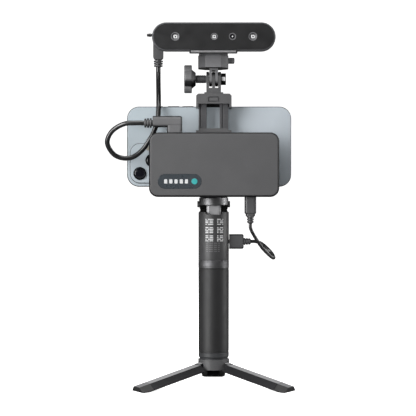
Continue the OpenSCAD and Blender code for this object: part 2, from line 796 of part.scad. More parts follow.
module quick_release_plate() {
    x0 = -20.8;
    x1 = 20;
    tongue_x0 = -12.8;
    tongue_x1 = 12.2;
    front_w = 4;
    color([0.5, 0.5, 0.52]) union() {
        box([tongue_x0, bar_y0 - 0.4, base_z1 + GAP], [tongue_x1, 20, plate_z1 - GAP / 2]);
        box([x0, bar_y0 - 0.4, base_z1 + GAP], [x1, bar_y0 + front_w, plate_z1 - GAP / 2]);
        box([x0, bar_y0 - 1.6, base_z1 + GAP], [x1, bar_y0 - GAP, plate_z1 + 1.1]);
        rod_z(plate_z1 - CUT, plate_z1 + 5, 0, 0, stud_r);
    }
}

// Round-ended solid that narrows from radius r0 at y0 to r1 at y1
module tapered_pill(y0, y1, r0, r1) {
    for (s = [-1, 1]) translate([s * bar_c, y0, bar_z]) rotate([-90, 0, 0]) cylinder(h = y1 - y0, r1 = r0, r2 = r1);
    translate([0, 0, bar_z]) along_x(-bar_c, bar_c)
        polygon([[y0, -r0], [y0, r0], [y1, r1], [y1, -r1]]);
}

// Everything above the housing's underside, which rises toward the back
module above_underside(lift) {
    rise_z = 5.55;
    rise = atan(rise_z / (bar_y1 - bar_y_mid));
    translate([-FAR / 2, bar_y_mid, bar_z - bar_r + lift]) rotate([rise, 0, 0]) translate([0, -FAR / 4, 0]) cube(FAR);
}

module scanner_rear_shell() {
    boss_r = 6.2;
    port_x = -49.2 + 4;
    color([0.2, 0.2, 0.21]) difference() {
        union() {
            difference() {
                intersection() {
                    tapered_pill(bar_y_mid, bar_y1, bar_r, bar_r_back);
                    above_underside(0);
                }
                intersection() {
                    tapered_pill(bar_y_mid - CUT, bar_y1 - bar_wall, bar_r - bar_wall, bar_r_back - bar_wall);
                    above_underside(bar_wall);
                }
            }
            rod_z(plate_z1, plate_z1 + 5.6, 0, 0, boss_r);
        }
        rod_z(plate_z1 - CUT, plate_z1 + 5.1, 0, 0, stud_r + GAP);
        box([port_x - 2, bar_y1 - 3, bar_z - 3.2], [port_x + 2, bar_y1 + CUT, bar_z + 3.2]);
        rod_y(bar_y1 - 3, bar_y1 + CUT, 10, bar_z, 4.1);
    }
}

module scanner_front_frame() {
    rim = 1.3;
    color([0.24, 0.24, 0.25]) difference() {
        translate([0, 0, bar_z]) along_y(bar_y0, bar_y_mid - GAP) pill(bar_c, bar_r);
        translate([0, 0, bar_z]) along_y(bar_y0 - CUT, bar_y0 + 1.6) pill(bar_c, bar_r - rim);
        translate([0, 0, bar_z]) along_y(bar_y0 + 2.6, bar_y_mid + CUT) pill(bar_c, bar_r - 2);
        for (i = [0 : 3]) rod_y(bar_y0, bar_y0 + 4, optic_x[i], optic_z, optic_r[i] + 1.3);
    }
}

module scanner_window() {
    rim = 1.3;
    color([0.2, 0.2, 0.2]) difference() {
        translate([0, 0, bar_z]) along_y(bar_y0 + 0.15, bar_y0 + 1.55) pill(bar_c, bar_r - rim - GAP);
        for (i = [0 : 3]) rod_y(bar_y0 - CUT, bar_y0 + 2, optic_x[i], optic_z, optic_r[i] + GAP);
    }
}

module optical_module(i, depth) {
    rod_y(bar_y0 + 0.6, bar_y0 + 5, optic_x[i], optic_z, optic_r[i]);
    box([optic_x[i] - optic_r[i] - 1, bar_y0 + 4.5, optic_z - optic_r[i] - 1],
        [optic_x[i] + optic_r[i] + 1, bar_y0 + depth, optic_z + optic_r[i] + 1]);
}

module scanner_cameras() {
    color([0.12, 0.12, 0.14]) for (i = [0, 2, 3]) optical_module(i, 10);
}

module scanner_projector() {
    color([0.12, 0.12, 0.14]) optical_module(1, 12);
}

module scanner_circuit_board() {
    color([0.1, 0.35, 0.2]) translate([0, 0, bar_z]) along_y(bar_y0 + 16, bar_y0 + 17.6) pill(bar_c - 4, bar_r - 5);
}

module scan_button() {
    color([0.1, 0.1, 0.11]) rod_y(bar_y1 - 2.8, bar_y1 + 1, 10, bar_z, 4);
}

module scanner_plug() {
    plug_x = -49.2;
    plug_y0 = bar_y1 + 0.3;
    plug_y1 = bar_y1 + 9;
    plug_yc = 28.7;
    z0 = 271.5;
    z1 = 297;
    lock_z = 293.7;
    color([0.08, 0.08, 0.09]) union() {
        translate([0, 0, (z0 + z1) / 2]) along_y(plug_y0, plug_y1)
            translate([plug_x, 0]) round_rect(9, z1 - z0, 3);
        box([plug_x + 2.3, bar_y1 - 2.5, bar_z - 3], [plug_x + 4.4, plug_y0 + CUT, bar_z + 3]);
        rod_z(265, z0 + CUT, plug_x, plug_yc, 2.3);
        for (i = [0 : 2]) rod_z(265.6 + 2 * i, 267.1 + 2 * i, plug_x, plug_yc, 3.9 + 0.1 * i);
        rod_x(-59.4, plug_x, plug_yc, lock_z, 1.25);
        rod_x(-57.9, -55.5, plug_yc, lock_z, 1.5);
    }
}

tripod_crown();
leg_pins();
leg_left();
leg_right();
leg_back();
foot_left();
foot_right();
foot_back();
handle_bottom_cap();
grip_sleeve();
battery_cell();
ring_band();
handle_tube();
handle_circuit_board();
handle_power_button();
tilt_neck();
handle_plug();
usb_cable();
tilt_cap();
tilt_pin();
lower_jaw();
lower_jaw_pad();
clamp_body();
clamp_spring();
box_mount_plate();
box_back_shell();
box_front_shell();
box_badge();
box_battery();
box_circuit_board();
box_power_button();
box_top_plug();
box_bottom_plug();
scanner_cable();
phone_frame();
phone_back_glass();
phone_screen();
phone_camera_island();
phone_lenses();
volume_up_button();
volume_down_button();
action_button();
upper_jaw();
upper_jaw_pad();
jaw_rails();
prong_mount();
hinge_nut();
thumb_screw_knob();
thumb_screw_shank();
quick_release_base();
release_button();
quick_release_plate();
scanner_rear_shell();
scanner_front_frame();
scanner_window();
scanner_cameras();
scanner_projector();
scanner_circuit_board();
scan_button();
scanner_plug();
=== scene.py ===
"""Looks of the handheld 3-D scanner kit: scanner bar, phone clamp, battery box, handle and tripod."""
import json
import math

import bmesh
import bpy
from mathutils import Matrix, Vector


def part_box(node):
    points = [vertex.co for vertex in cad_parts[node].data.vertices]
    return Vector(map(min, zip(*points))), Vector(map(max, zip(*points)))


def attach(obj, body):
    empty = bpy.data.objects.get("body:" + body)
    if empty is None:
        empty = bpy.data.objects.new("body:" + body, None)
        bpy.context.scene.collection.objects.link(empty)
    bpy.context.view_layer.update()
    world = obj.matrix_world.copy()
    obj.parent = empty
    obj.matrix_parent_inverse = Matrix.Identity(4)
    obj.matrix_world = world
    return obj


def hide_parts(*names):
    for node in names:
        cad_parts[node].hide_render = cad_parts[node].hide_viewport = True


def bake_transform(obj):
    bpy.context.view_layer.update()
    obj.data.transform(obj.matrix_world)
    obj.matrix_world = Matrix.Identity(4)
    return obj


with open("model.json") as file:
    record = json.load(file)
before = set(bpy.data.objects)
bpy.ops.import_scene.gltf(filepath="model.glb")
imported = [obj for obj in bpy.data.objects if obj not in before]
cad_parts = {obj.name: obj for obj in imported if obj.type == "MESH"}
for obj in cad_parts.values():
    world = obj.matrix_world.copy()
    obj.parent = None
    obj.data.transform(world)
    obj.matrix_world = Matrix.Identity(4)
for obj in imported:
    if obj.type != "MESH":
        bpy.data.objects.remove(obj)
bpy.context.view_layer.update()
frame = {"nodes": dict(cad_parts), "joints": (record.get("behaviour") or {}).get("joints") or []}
MM = 0.001
WIDE_FACE = 60 * MM * MM
BODY_SHARP, REFINED_SHARP, CABLE_SHARP = 38, 35, 60  # degrees between faces from which an edge stays sharp
KNIFE = (0.01, 0.01)  # edge radii of the solids that only cut
ORIGIN = (0, 0, 0)

# ---- mesh tools (all sizes in millimetres)

AXES = {
    "x": Matrix(((0, 0, 1, 0), (1, 0, 0, 0), (0, 1, 0, 0), (0, 0, 0, 1))),
    "y": Matrix(((1, 0, 0, 0), (0, 0, -1, 0), (0, 1, 0, 0), (0, 0, 0, 1))),
    "z": Matrix.Identity(4),
}
for axis in "xy":
    AXES[axis + "_back"] = Matrix.Rotation(math.pi, 4, "Z") @ AXES[axis]


def fillet(points, radii, closed=True, step=12):
    """A polyline with each corner turned into an arc of its radius, one point every step degrees."""
    count = len(points)
    if not isinstance(radii, (list, tuple)):
        radii = [radii] * count
    out = []
    for i, (corner, radius) in enumerate(zip(points, radii)):
        here = Vector(corner)
        if radius <= 0 or (not closed and i in (0, count - 1)):
            out.append(here)
            continue
        back = (Vector(points[i - 1]) - here).normalized()
        ahead = (Vector(points[(i + 1) % count]) - here).normalized()
        half = math.acos(max(-1, min(1, back.dot(ahead)))) / 2
        if half > math.radians(89.5):
            out.append(here)
            continue
        centre = here + (back + ahead).normalized() * radius / math.sin(half)
        start = here + back * radius / math.tan(half) - centre
        bend = math.pi - 2 * half
        if back.x * ahead.y - back.y * ahead.x > 0:
            bend = -bend
        steps = max(2, math.ceil(abs(math.degrees(bend)) / step))
        for k in range(steps + 1):
            c, s = math.cos(bend * k / steps), math.sin(bend * k / steps)
            out.append(centre + Vector((start.x * c - start.y * s, start.x * s + start.y * c)))
    return out


def rect(width, height, radius, centre=(0, 0), step=9):
    """Outline of a rectangle with round corners."""
    x, y = width / 2, height / 2
    corners = [(-x, -y), (x, -y), (x, y), (-x, y)]
    return [p + Vector(centre) for p in fillet(corners, radius, step=step)]


def ring(radius, centre=(0, 0), count=48):
    """Outline of a circle."""
    angles = [2 * math.pi / count * i for i in range(count)]
    return [Vector(centre) + radius * Vector((math.cos(a), math.sin(a))) for a in angles]


def pill(half, radius, centre=(0, 0), step=6):
    """Outline of a round-ended bar: two half circles joined by straight sides."""
    out = []
    count = int(180 / step)
    for side, first in ((1, -90), (-1, 90)):
        for k in range(count + 1):
            a = math.radians(first + 180 * k / count)
            x, y = side * half + radius * math.cos(a), radius * math.sin(a)
            out.append(Vector((centre[0] + x, centre[1] + y)))
    return out


def inset(outline, distance):
    """The outline moved inward by distance, corner by corner."""
    out = []
    count = len(outline)
    for i, p in enumerate(outline):
        a = (p - outline[i - 1]).normalized()
        b = (outline[(i + 1) % count] - p).normalized()
        na, nb = Vector((-a.y, a.x)), Vector((-b.y, b.x))
        n = (na + nb).normalized()
        out.append(p + n * distance / max(0.3, n.dot(na)))
    return out


def loft(bm, rings):
    """Joins rings of points into a skin and caps both ends."""
    loops = [[bm.verts.new(p) for p in points] for points in rings]
    count = len(loops[0])
    for low, high in zip(loops, loops[1:]):
        for i in range(count):
            j = (i + 1) % count
            bm.faces.new((low[i], low[j], high[j], high[i]))
    bm.faces.new(list(reversed(loops[0])))
    bm.faces.new(loops[-1])


def solid(bm, outline, axis, start, end, edge=(0.4, 0.4), steps=3):
    """Adds an outline made solid along an axis, with round edges. Along y the ends go from front to back."""
    if axis == "y":
        start, end, edge = -end, -start, edge[::-1]
    levels = []
    for radius, level, inward in ((edge[0], start, 1), (edge[1], end, -1)):
        for k in range(steps + 1):
            a = math.pi / 2 * (k if inward > 0 else steps - k) / steps
            levels.append((radius * (1 - math.sin(a)), level + inward * radius * (1 - math.cos(a))))
    rings = []
    for distance, height in levels:
        points = inset(outline, distance) if distance > 1e-6 else outline
        turned = [AXES[axis] @ Vector((p.x, p.y, height)) for p in points]
        if not rings or (turned[0] - rings[-1][0]).length > 1e-5:
            rings.append(turned)
    loft(bm, rings)


def block(bm, low, high, radius=0.5, edge=0.4, axis="y", steps=3):
    """Adds a box from corner to corner, with its corners round about one axis and its edges round."""
    low, high = Vector(low), Vector(high)
    mid, size = (low + high) / 2, high - low
    along = "xyz".index(axis)
    u, v = [i for i in range(3) if i != along]
    outline = rect(size[u], size[v], radius, (mid[u], mid[v]))
    solid(bm, outline, axis, low[along], high[along], (edge, edge), steps)


def turn(bm, points, axis="z", centre=ORIGIN, count=48, radii=None, step=15):
    """Adds a solid of revolution from (radius, height) points, its corners rounded if there are radii.

    A profile that starts on the axis also ends there, and its ends take no radius. Any other closes."""
    on_axis = points[0][0] == 0
    if radii:
        points = fillet(points, [0, *radii, 0] if on_axis else radii, not on_axis, step)
    loops = []
    for radius, height in points:
        angles = [2 * math.pi * i / count for i in range(count)] if radius > 1e-6 else [0]
        circle = [Vector((radius * math.cos(a), radius * math.sin(a), height)) for a in angles]
        loops.append([bm.verts.new(AXES[axis] @ p + Vector(centre)) for p in circle])
    if not on_axis:
        loops.append(loops[0])
    for low, high in zip(loops, loops[1:]):
        for i in range(count):
            j = (i + 1) % count
            corners = (low[i % len(low)], low[j % len(low)], high[j % len(high)], high[i % len(high)])
            bm.faces.new(list(dict.fromkeys(corners)))


def rod(bm, radius, start, end, axis="z", centre=ORIGIN, count=48):
    """Adds a plain cylinder."""
    turn(bm, [(0, start), (radius, start), (radius, end), (0, end)], axis, centre, count)


def spline(points, pieces):
    """A smooth curve through all the points."""
    points = [Vector(p) for p in points]
    last = len(points) - 1
    out = []
    for i in range(last):
        a, b, c, d = (points[max(0, min(i + k, last))] for k in (-1, 0, 1, 2))
        for k in range(pieces):
            t = k / pieces
            out.append(0.5 * (2 * b + (c - a) * t + (2 * a - 5 * b + 4 * c - d) * t ** 2
                              + (3 * b - a - 3 * c + d) * t ** 3))
    out.append(points[-1])
    return out


def cord(bm, points, radius, pieces=14, sides=26):
    """Adds a round cord on a curve through the points, its rings carried along without twist."""
    path = spline(points, pieces)
    side = Vector((0, 1, 0.1))
    rings = []
    for i, p in enumerate(path):
        along = (path[min(i + 1, len(path) - 1)] - path[max(i - 1, 0)]).normalized()
        side = (side - along * side.dot(along)).normalized()
        across = along.cross(side)
        angles = [2 * math.pi * k / sides for k in range(sides)]
        rings.append([p + radius * (math.cos(a) * side + math.sin(a) * across) for a in angles])
    loft(bm, rings)


# ---- from shapes to finished pieces


def linked(name, data):
    """A new object in the scene."""
    obj = bpy.data.objects.new(name, data)
    bpy.context.scene.collection.objects.link(obj)
    return obj


def mesh_from(bm, name):
    mesh = bpy.data.meshes.new(name)
    bm.to_mesh(mesh)
    bm.free()
    return mesh


def drawn(build, name):
    """Runs build(bm) in millimetres and returns its mesh in metres."""
    bm = bmesh.new()
    build(bm)
    bmesh.ops.recalc_face_normals(bm, faces=bm.faces)
    bmesh.ops.scale(bm, vec=(MM, MM, MM), verts=bm.verts)
    return mesh_from(bm, name)


def dress(mesh, material, sharp=BODY_SHARP):
    """One material and smooth faces. Wide many-sided faces stay flat, so that their light is even."""
    mesh.materials.clear()
    mesh.materials.append(material)
    for polygon in mesh.polygons:
        polygon.use_smooth = len(polygon.vertices) <= 4 or polygon.area <= WIDE_FACE
        polygon.material_index = 0
    mesh.set_sharp_from_angle(angle=math.radians(sharp))


def finish_piece(name, mesh, material, body, nodes, sharp=BODY_SHARP, weighted=True):
    """Makes a mesh a piece that rides on a body and stands in for CAD nodes."""
    dress(mesh, material, sharp)
    obj = linked(name, mesh)
    if weighted:
        obj.modifiers.new("Flat faces stay flat", "WEIGHTED_NORMAL").keep_sharp = True
    if body:
        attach(obj, body)
    if nodes:
        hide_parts(*nodes)
    return obj


def piece(name, build, material, body, slot, *nodes):
    """A piece drawn by build(bm)."""
    return finish_piece(name, drawn(build, name), material, body, nodes)


def redrawn(node, build, material, body, slot):
    """A piece that stands in for one node and is named after it."""
    return piece(f"{node}_shape", build, material, body, slot, node)


def cut(obj, *builds):
    """Takes the solids that each build(bm) draws out of a piece, for good."""
    for build in builds:
        tool = linked("cutter", drawn(build, "cutter"))
        material = obj.data.materials[0]
        normals = obj.modifiers[0]
        normals.show_viewport = False
        boolean = obj.modifiers.new("cut", "BOOLEAN")
        boolean.operation = "DIFFERENCE"
        boolean.solver = "EXACT"
        boolean.object = tool
        bpy.context.view_layer.update()
        graph = bpy.context.evaluated_depsgraph_get()
        obj.data = bpy.data.meshes.new_from_object(obj.evaluated_get(graph))
        obj.modifiers.remove(boolean)
        normals.show_viewport = True
        dress(obj.data, material)
        bpy.data.meshes.remove(tool.data)


def refined(node, material, body, bevel=0.3, segments=2):
    """A new piece from a CAD node's shape, with its sharp edges rounded."""
    bm = bmesh.new()
    bm.from_mesh(frame["nodes"][node].data)
    bmesh.ops.remove_doubles(bm, verts=bm.verts, dist=1e-6)
    bmesh.ops.dissolve_limit(bm, angle_limit=math.radians(0.6), verts=bm.verts, edges=bm.edges)
    bmesh.ops.recalc_face_normals(bm, faces=bm.faces)
    corners = [e for e in bm.edges if e.is_manifold and e.calc_face_angle(0) > math.radians(30)]
    bmesh.ops.bevel(bm, geom=corners, offset=bevel * MM, segments=segments, profile=0.5,
                    affect="EDGES", clamp_overlap=True, harden_normals=False)
    return finish_piece(f"{node}_shape", mesh_from(bm, node), material, body, [node], REFINED_SHARP)


# ---- places, in millimetres, from the frame


def mm_box(node):
    low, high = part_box(node)
    return low / MM, high / MM


def middle(node):
    low, high = mm_box(node)
    return (low + high) / 2


def pivot(joint):
    found = next(j for j in frame["joints"] if j["name"] == joint)
    return Vector(found["pos_m"]) / MM


HINGE = pivot("scanner_tilt")
TILT = pivot("head_tilt")

# ---- materials


class Nodes:
    """Short calls for building one material's node tree."""

    def __init__(self, name):
        self.material = bpy.data.materials.new(name)
        self.material.use_nodes = True
        self.tree = self.material.node_tree
        self.shader = self.tree.nodes["Principled BSDF"]
        self.place = self.add("ShaderNodeTexCoord").outputs["Object"]

    def add(self, kind, **values):
        node = self.tree.nodes.new(kind)
        for key, value in values.items():
            setattr(node, key, value)
        return node

    def link(self, source, target):
        self.tree.links.new(source, target)

    def noise(self, per_metre, detail=4, rough=0.5, stretch=(1, 1, 1)):
        mapping = self.add("ShaderNodeMapping")
        mapping.inputs["Scale"].default_value = stretch
        self.link(self.place, mapping.inputs["Vector"])
        noise = self.add("ShaderNodeTexNoise")
        for key, number in zip(("Scale", "Detail", "Roughness"), (per_metre, detail, rough)):
            noise.inputs[key].default_value = number
        self.link(mapping.outputs["Vector"], noise.inputs["Vector"])
        return noise.outputs["Fac"]

    def spread(self, value, low, high, out_low=0.0, out_high=1.0):
        span = self.add("ShaderNodeMapRange")
        for key, number in zip(("From Min", "From Max", "To Min", "To Max"), (low, high, out_low, out_high)):
            span.inputs[key].default_value = number
        self.link(value, span.inputs["Value"])
        return span.outputs["Result"]

    def mix(self, factor, a, b):
        mix = self.add("ShaderNodeMix", data_type="RGBA")
        for socket, value in ((mix.inputs[6], a), (mix.inputs[7], b)):
            if isinstance(value, tuple):
                socket.default_value = (*value, 1)
            else:
                self.link(value, socket)
        self.link(factor, mix.inputs[0])
        return mix.outputs[2]

    def math(self, operation, a, b=0.5):
        node = self.add("ShaderNodeMath", operation=operation)
        for socket, value in zip(node.inputs, (a, b)):
            if isinstance(value, (int, float)):
                socket.default_value = value
            else:
                self.link(value, socket)
        return node.outputs[0]

    def bump(self, height, depth_mm, strength=1.0):
        bump = self.add("ShaderNodeBump")
        bump.inputs["Distance"].default_value = depth_mm * MM
        bump.inputs["Strength"].default_value = strength
        self.link(height, bump.inputs["Height"])
        if self.shader.inputs["Normal"].links:
            self.link(self.shader.inputs["Normal"].links[0].from_socket, bump.inputs["Normal"])
        self.link(bump.outputs["Normal"], self.shader.inputs["Normal"])

    def edges(self, radius_mm=0.3):
        """Near 1 along sharp edges, whatever the mesh under them."""
        bevel = self.add("ShaderNodeBevel", samples=4)
        bevel.inputs["Radius"].default_value = radius_mm * MM
        dot = self.add("ShaderNodeVectorMath", operation="DOT_PRODUCT")
        self.link(bevel.outputs["Normal"], dot.inputs[0])
        self.link(self.add("ShaderNodeNewGeometry").outputs["Normal"], dot.inputs[1])
        return self.spread(dot.outputs["Value"], 0.99, 0.8)

    def facing(self, axis, start, end):
        """Runs from 0 to 1 as the surface's direction along an axis goes from start to end."""
        turned = self.add("ShaderNodeSeparateXYZ")
        self.link(self.add("ShaderNodeTexCoord").outputs["Normal"], turned.inputs[0])
        return self.spread(turned.outputs[axis], start, end)

    def sheen(self, source, low, high, rough_low, rough_high):
        self.link(self.spread(source, low, high, rough_low, rough_high), self.shader.inputs["Roughness"])

    def colour(self, socket):
        self.link(socket, self.shader.inputs["Base Color"])

    def set(self, **values):
        for key, value in values.items():
            self.shader.inputs[key.replace("_", " ")].default_value = value


def shade(colour, factor):
    return tuple(min(1.0, c * factor) for c in colour)


def grey(level, cool=0.0):
    """A grey whose blue is a little higher."""
    return (level, level, level + cool)


def moulded(name, colour, rough=0.5, grain=1600, depth=0.02, mottle=0.12, edge_wear_and_highlight=0.5, coat=0.0, specular=0.5,
            side=None, turned=(-0.96, -0.6), top=None, ends=None, under=None):
    """Moulded plastic or lacquer: fine texture, uneven sheen, slightly paler edges, partly worn and partly
    painted highlight.

    Side is the painted shade of what turns away from the front, top the painted light on what looks up,
    ends the painted shade of what looks up or down, under the painted shade of what looks even a little down."""
    n = Nodes(name)
    broad = n.noise(45, 3)
    fine = n.noise(grain, 2, 0.6)
    tone = n.mix(n.spread(broad, 0.35, 0.65), shade(colour, 1 - mottle), shade(colour, 1 + mottle))
    tone = n.mix(n.spread(fine, 0.3, 0.7, 0.0, 0.35), tone, shade(colour, 1.45))
    # Paler sharp edges: partly worn, partly a painted highlight along the edges.
    tone = n.mix(n.math("MULTIPLY", n.edges(), edge_wear_and_highlight), tone, shade(colour, 2.4))
    # Painted shade: faces turned away from the front take the darker side tone.
    if side:
        tone = n.mix(n.facing("Y", *turned), tone, side)
    # Painted light: faces that look up take the lighter top tone.
    if top:
        tone = n.mix(n.facing("Z", 0.82, 0.9), tone, top)
    # Painted shade: faces that look up or down take the dark ends tone.
    if ends:
        tone = n.mix(n.math("MAXIMUM", n.facing("Z", 0.35, 0.8), n.facing("Z", -0.35, -0.8)), tone, ends)
    # Painted shade: faces that look even a little down take the dark under tone.
    if under:
        tone = n.mix(n.facing("Z", -0.02, -0.3), tone, under)
    n.colour(tone)
    n.sheen(n.noise(120, 4), 0.3, 0.7, rough - 0.06, rough + 0.07)
    n.bump(fine, depth, 0.7)
    n.set(Specular_IOR_Level=specular, Coat_Weight=coat, Coat_Roughness=0.12)
    if side:
        dimmed = n.spread(n.facing("Y", *turned), 0, 1, specular, specular / 2)
        n.link(dimmed, n.shader.inputs["Specular IOR Level"])
    return n.material


def metal(name, colour, rough=0.3, lines=(1, 1, 40), depth=0.006, metallic=1.0, scale=260):
    """Brushed or blasted metal: streaks across the given stretch, uneven sheen."""
    n = Nodes(name)
    streak = n.noise(scale, 5, 0.7, lines)
    broad = n.noise(60, 3)
    tone = n.mix(n.spread(streak, 0.3, 0.7), shade(colour, 0.78), shade(colour, 1.2))
    n.colour(n.mix(n.spread(broad, 0.35, 0.65, 0.0, 0.4), tone, shade(colour, 0.85)))
    n.sheen(streak, 0.25, 0.75, rough - 0.08, rough + 0.1)
    n.bump(streak, depth, 0.6)
    n.set(Metallic=metallic)
    return n.material


def rubber(name, colour, rough=0.72):
    """Soft rubber with dust in its pores."""
    n = Nodes(name)
    fine = n.noise(2400, 3, 0.6)
    dust = n.noise(90, 5, 0.6)
    n.colour(n.mix(n.spread(dust, 0.45, 0.8, 0.0, 0.5), colour, shade(colour, 1.9)))
    n.sheen(dust, 0.3, 0.7, rough - 0.08, rough + 0.1)
    n.bump(fine, 0.025, 0.8)
    n.set(Specular_IOR_Level=0.35)
    return n.material


def cable_skin(name, colour):
    """Soft cable jacket with faint moulding waves along it."""
    n = Nodes(name)
    fine = n.noise(1800, 2)
    waves = n.noise(260, 2)
    n.colour(n.mix(n.spread(waves, 0.35, 0.7), shade(colour, 0.85), shade(colour, 1.25)))
    n.sheen(waves, 0.3, 0.7, 0.26, 0.36)
    n.set(Coat_Weight=0.5, Coat_Roughness=0.22)
    n.bump(fine, 0.015, 0.6)
    n.bump(waves, 0.03, 0.4)
    return n.material


def glass_back():
    """The phone's satin glass: pale blue-grey, with painted shade towards its right-hand bottom corner and
    rim.
    """
    low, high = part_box("phone_frame")
    n = Nodes("phone_back")
    split = n.add("ShaderNodeSeparateXYZ")
    n.link(n.place, split.inputs[0])
    # Painted shade: the glass darkens towards its right-hand bottom corner.
    across = n.spread(split.outputs["X"], low.x, high.x)
    down = n.spread(split.outputs["Z"], high.z, low.z)
    slant = n.math("ADD", n.math("MULTIPLY", across, 0.72), n.math("MULTIPLY", down, 0.28))
    slant = n.math("ADD", slant, n.spread(n.noise(24, 3), 0.3, 0.7, -0.035, 0.035))
    pale = n.mix(n.spread(slant, 0.05, 0.62), (0.35, 0.40, 0.43), (0.40, 0.44, 0.475))
    tone = n.mix(n.spread(slant, 0.70, 0.98), pale, (0.20, 0.22, 0.24))
    # Painted shade: the rounded rim, turned from the front, is near black.
    n.colour(n.mix(n.facing("Y", -0.99, -0.88), tone, (0.03, 0.033, 0.036)))
    fine = n.noise(3200, 2, 0.7)
    n.sheen(fine, 0.3, 0.7, 0.3, 0.38)
    n.bump(fine, 0.004, 0.5)
    n.set(Coat_Weight=0.12, Coat_Roughness=0.2, Metallic=0.1)
    return n.material


def dark_glass(name, colour, rough=0.08, tint=None):
    """Polished dark glass with a coated, slightly smudged face."""
    n = Nodes(name)
    smudge = n.noise(70, 5, 0.65)
    n.colour(n.mix(n.spread(smudge, 0.4, 0.8, 0.0, 0.5), colour, tint or shade(colour, 1.6)))
    n.sheen(smudge, 0.35, 0.75, rough, rough + 0.12)
    n.bump(n.noise(500, 2), 0.002, 0.3)
    n.set(Coat_Weight=0.6, Coat_Roughness=0.05, Specular_IOR_Level=0.6)
    return n.material


def glow(name, colour, strength):
    """A part behind a window, its colour glowing at the given strength: painted light where the part is no
    lamp.
    """
    n = Nodes(name)
    n.colour(n.mix(n.spread(n.noise(2500, 2), 0.3, 0.7), shade(colour, 0.8), colour))
    n.set(Emission_Color=(*colour, 1), Emission_Strength=strength, Roughness=0.3)
    return n.material


BLACK = moulded("black_plastic", (0.026, 0.027, 0.029), 0.46, depth=0.018)
DARK = moulded("dark_plastic", grey(0.012, 0.001), 0.42, depth=0.012)
# Painted shade: sides turned from the front are darker, faces that look up or down near black.
JAW = moulded("jaw_plastic", grey(0.072, 0.002), 0.45, depth=0.02, side=grey(0.022, 0.002),
              ends=grey(0.006))
# Painted light: the legs' upward faces are much lighter, as if lit from above.
LEG = moulded("leg_lacquer", grey(0.005, 0.001), 0.42, grain=2200, depth=0.01, specular=0.2,
              top=grey(0.22, 0.005))
GRIP = moulded("soft_grip", grey(0.011, 0.0005), 0.50, grain=2600, depth=0.012, edge_wear_and_highlight=0.2)
TUBE = moulded("tube_lacquer", grey(0.03, 0.001), 0.48, grain=1600, depth=0.005, edge_wear_and_highlight=0.3)
# Painted light: the feet's upward faces are lighter, as if lit from above.
FOOT = moulded("foot_rubber", grey(0.01), 0.6, grain=2400, depth=0.02, edge_wear_and_highlight=0.2, top=grey(0.14, 0.005))
RUBBER = rubber("rubber", grey(0.012))
FAINT_PRINT = moulded("faint_print", grey(0.085, 0.003), 0.5, depth=0.003, mottle=0.3, edge_wear_and_highlight=0.0)
CABLE = cable_skin("cable_jacket", grey(0.006, 0.0005))
# Painted shade: the plugs' sides turned from the front are near black.
PLUG = moulded("plug_plastic", grey(0.055, 0.002), 0.42, depth=0.015, side=grey(0.008, 0.001))
# Painted shade: the box's rounded rim, turned from the front, is near black.
BOX_FACE = moulded("box_face", grey(0.063, 0.002), 0.50, 2400, 0.010, 0.05, 0.1,
                   side=grey(0.005, 0.0005), turned=(-0.985, -0.85))
BOX_BACK = moulded("box_back", grey(0.035, 0.003), 0.5, grain=2400, depth=0.012)
BADGE = moulded("badge_film", (0.028, 0.034, 0.040), 0.30, grain=1500, depth=0.003, mottle=0.06,
                edge_wear_and_highlight=0.0, coat=0.15)
TEAL = moulded("teal_light", (0.03, 0.26, 0.26), 0.35, depth=0.004, mottle=0.08)
PALE_PRINT = moulded("pale_print", (0.46, 0.465, 0.47), 0.5, depth=0.003, mottle=0.05, edge_wear_and_highlight=0.0)
STEEL = metal("steel", grey(0.62, 0.02), 0.25)
# The neck's and the tilt cap's greys are raised to offset the box's shadow on them: partly their own tone,
# partly painted light.
NECK = metal("neck_steel", grey(0.42, 0.01), 0.45, (1, 1, 30), metallic=0.35)
RING = metal("ring_metal", grey(0.15, 0.005), 0.50, (1, 1, 30))
TILT_METAL = metal("tilt_metal", grey(0.21, 0.005), 0.46, (1, 1, 30))
PLATE = metal("plate_metal", grey(0.4, 0.01), 0.34, (1, 30, 1), metallic=0.7)
PHONE_METAL = metal("phone_metal", (0.13, 0.14, 0.15), 0.32, (1, 1, 1), 0.003, 1.0, 900)
PHONE_BACK = glass_back()
SCREEN = dark_glass("screen_glass", grey(0.006, 0.002), 0.06)
LENS = dark_glass("lens_glass", grey(0.003, 0.002), 0.06, grey(0.008, 0.006))
WINDOW = moulded("scanner_window", grey(0.01, 0.0005), 0.40, grain=1500, depth=0.002, mottle=0.04,
                 edge_wear_and_highlight=0.0, coat=0.2)
RIM = moulded("scanner_rim", (0.046, 0.047, 0.050), 0.42, depth=0.012, edge_wear_and_highlight=0.3)
HOUSING = moulded("scanner_housing", (0.036, 0.037, 0.040), 0.45, depth=0.016)
# Painted highlight: a faint glow that makes the emitter squares and the lens dot read bright.
PAINTED_GLOW = glow("painted_glow_emitter", grey(0.62), 0.12)
BEZEL = moulded("optic_bezel", grey(0.11, 0.005), 0.4, depth=0.003)
BARREL = moulded("optic_barrel", grey(0.045, 0.003), 0.35, depth=0.004)
CROWN = moulded("crown_lacquer", grey(0.06, 0.002), 0.38, grain=2000, depth=0.008)
# Painted shade: sides turned from the front are darker, faces that look up or down near black.
RELEASE = moulded("release_plastic", grey(0.14, 0.005), 0.45, depth=0.012, side=grey(0.04, 0.002),
                  ends=grey(0.006))
# Painted shade: a near-black, dull material for parts that stand in for shaded gaps and recesses.
PAINTED_SHADE_BLACK = moulded("painted_shade_black", grey(0.003), 0.8, depth=0.01, edge_wear_and_highlight=0.0, specular=0.12)
KNOB = moulded("knob_plastic", grey(0.11, 0.003), 0.40, depth=0.014)
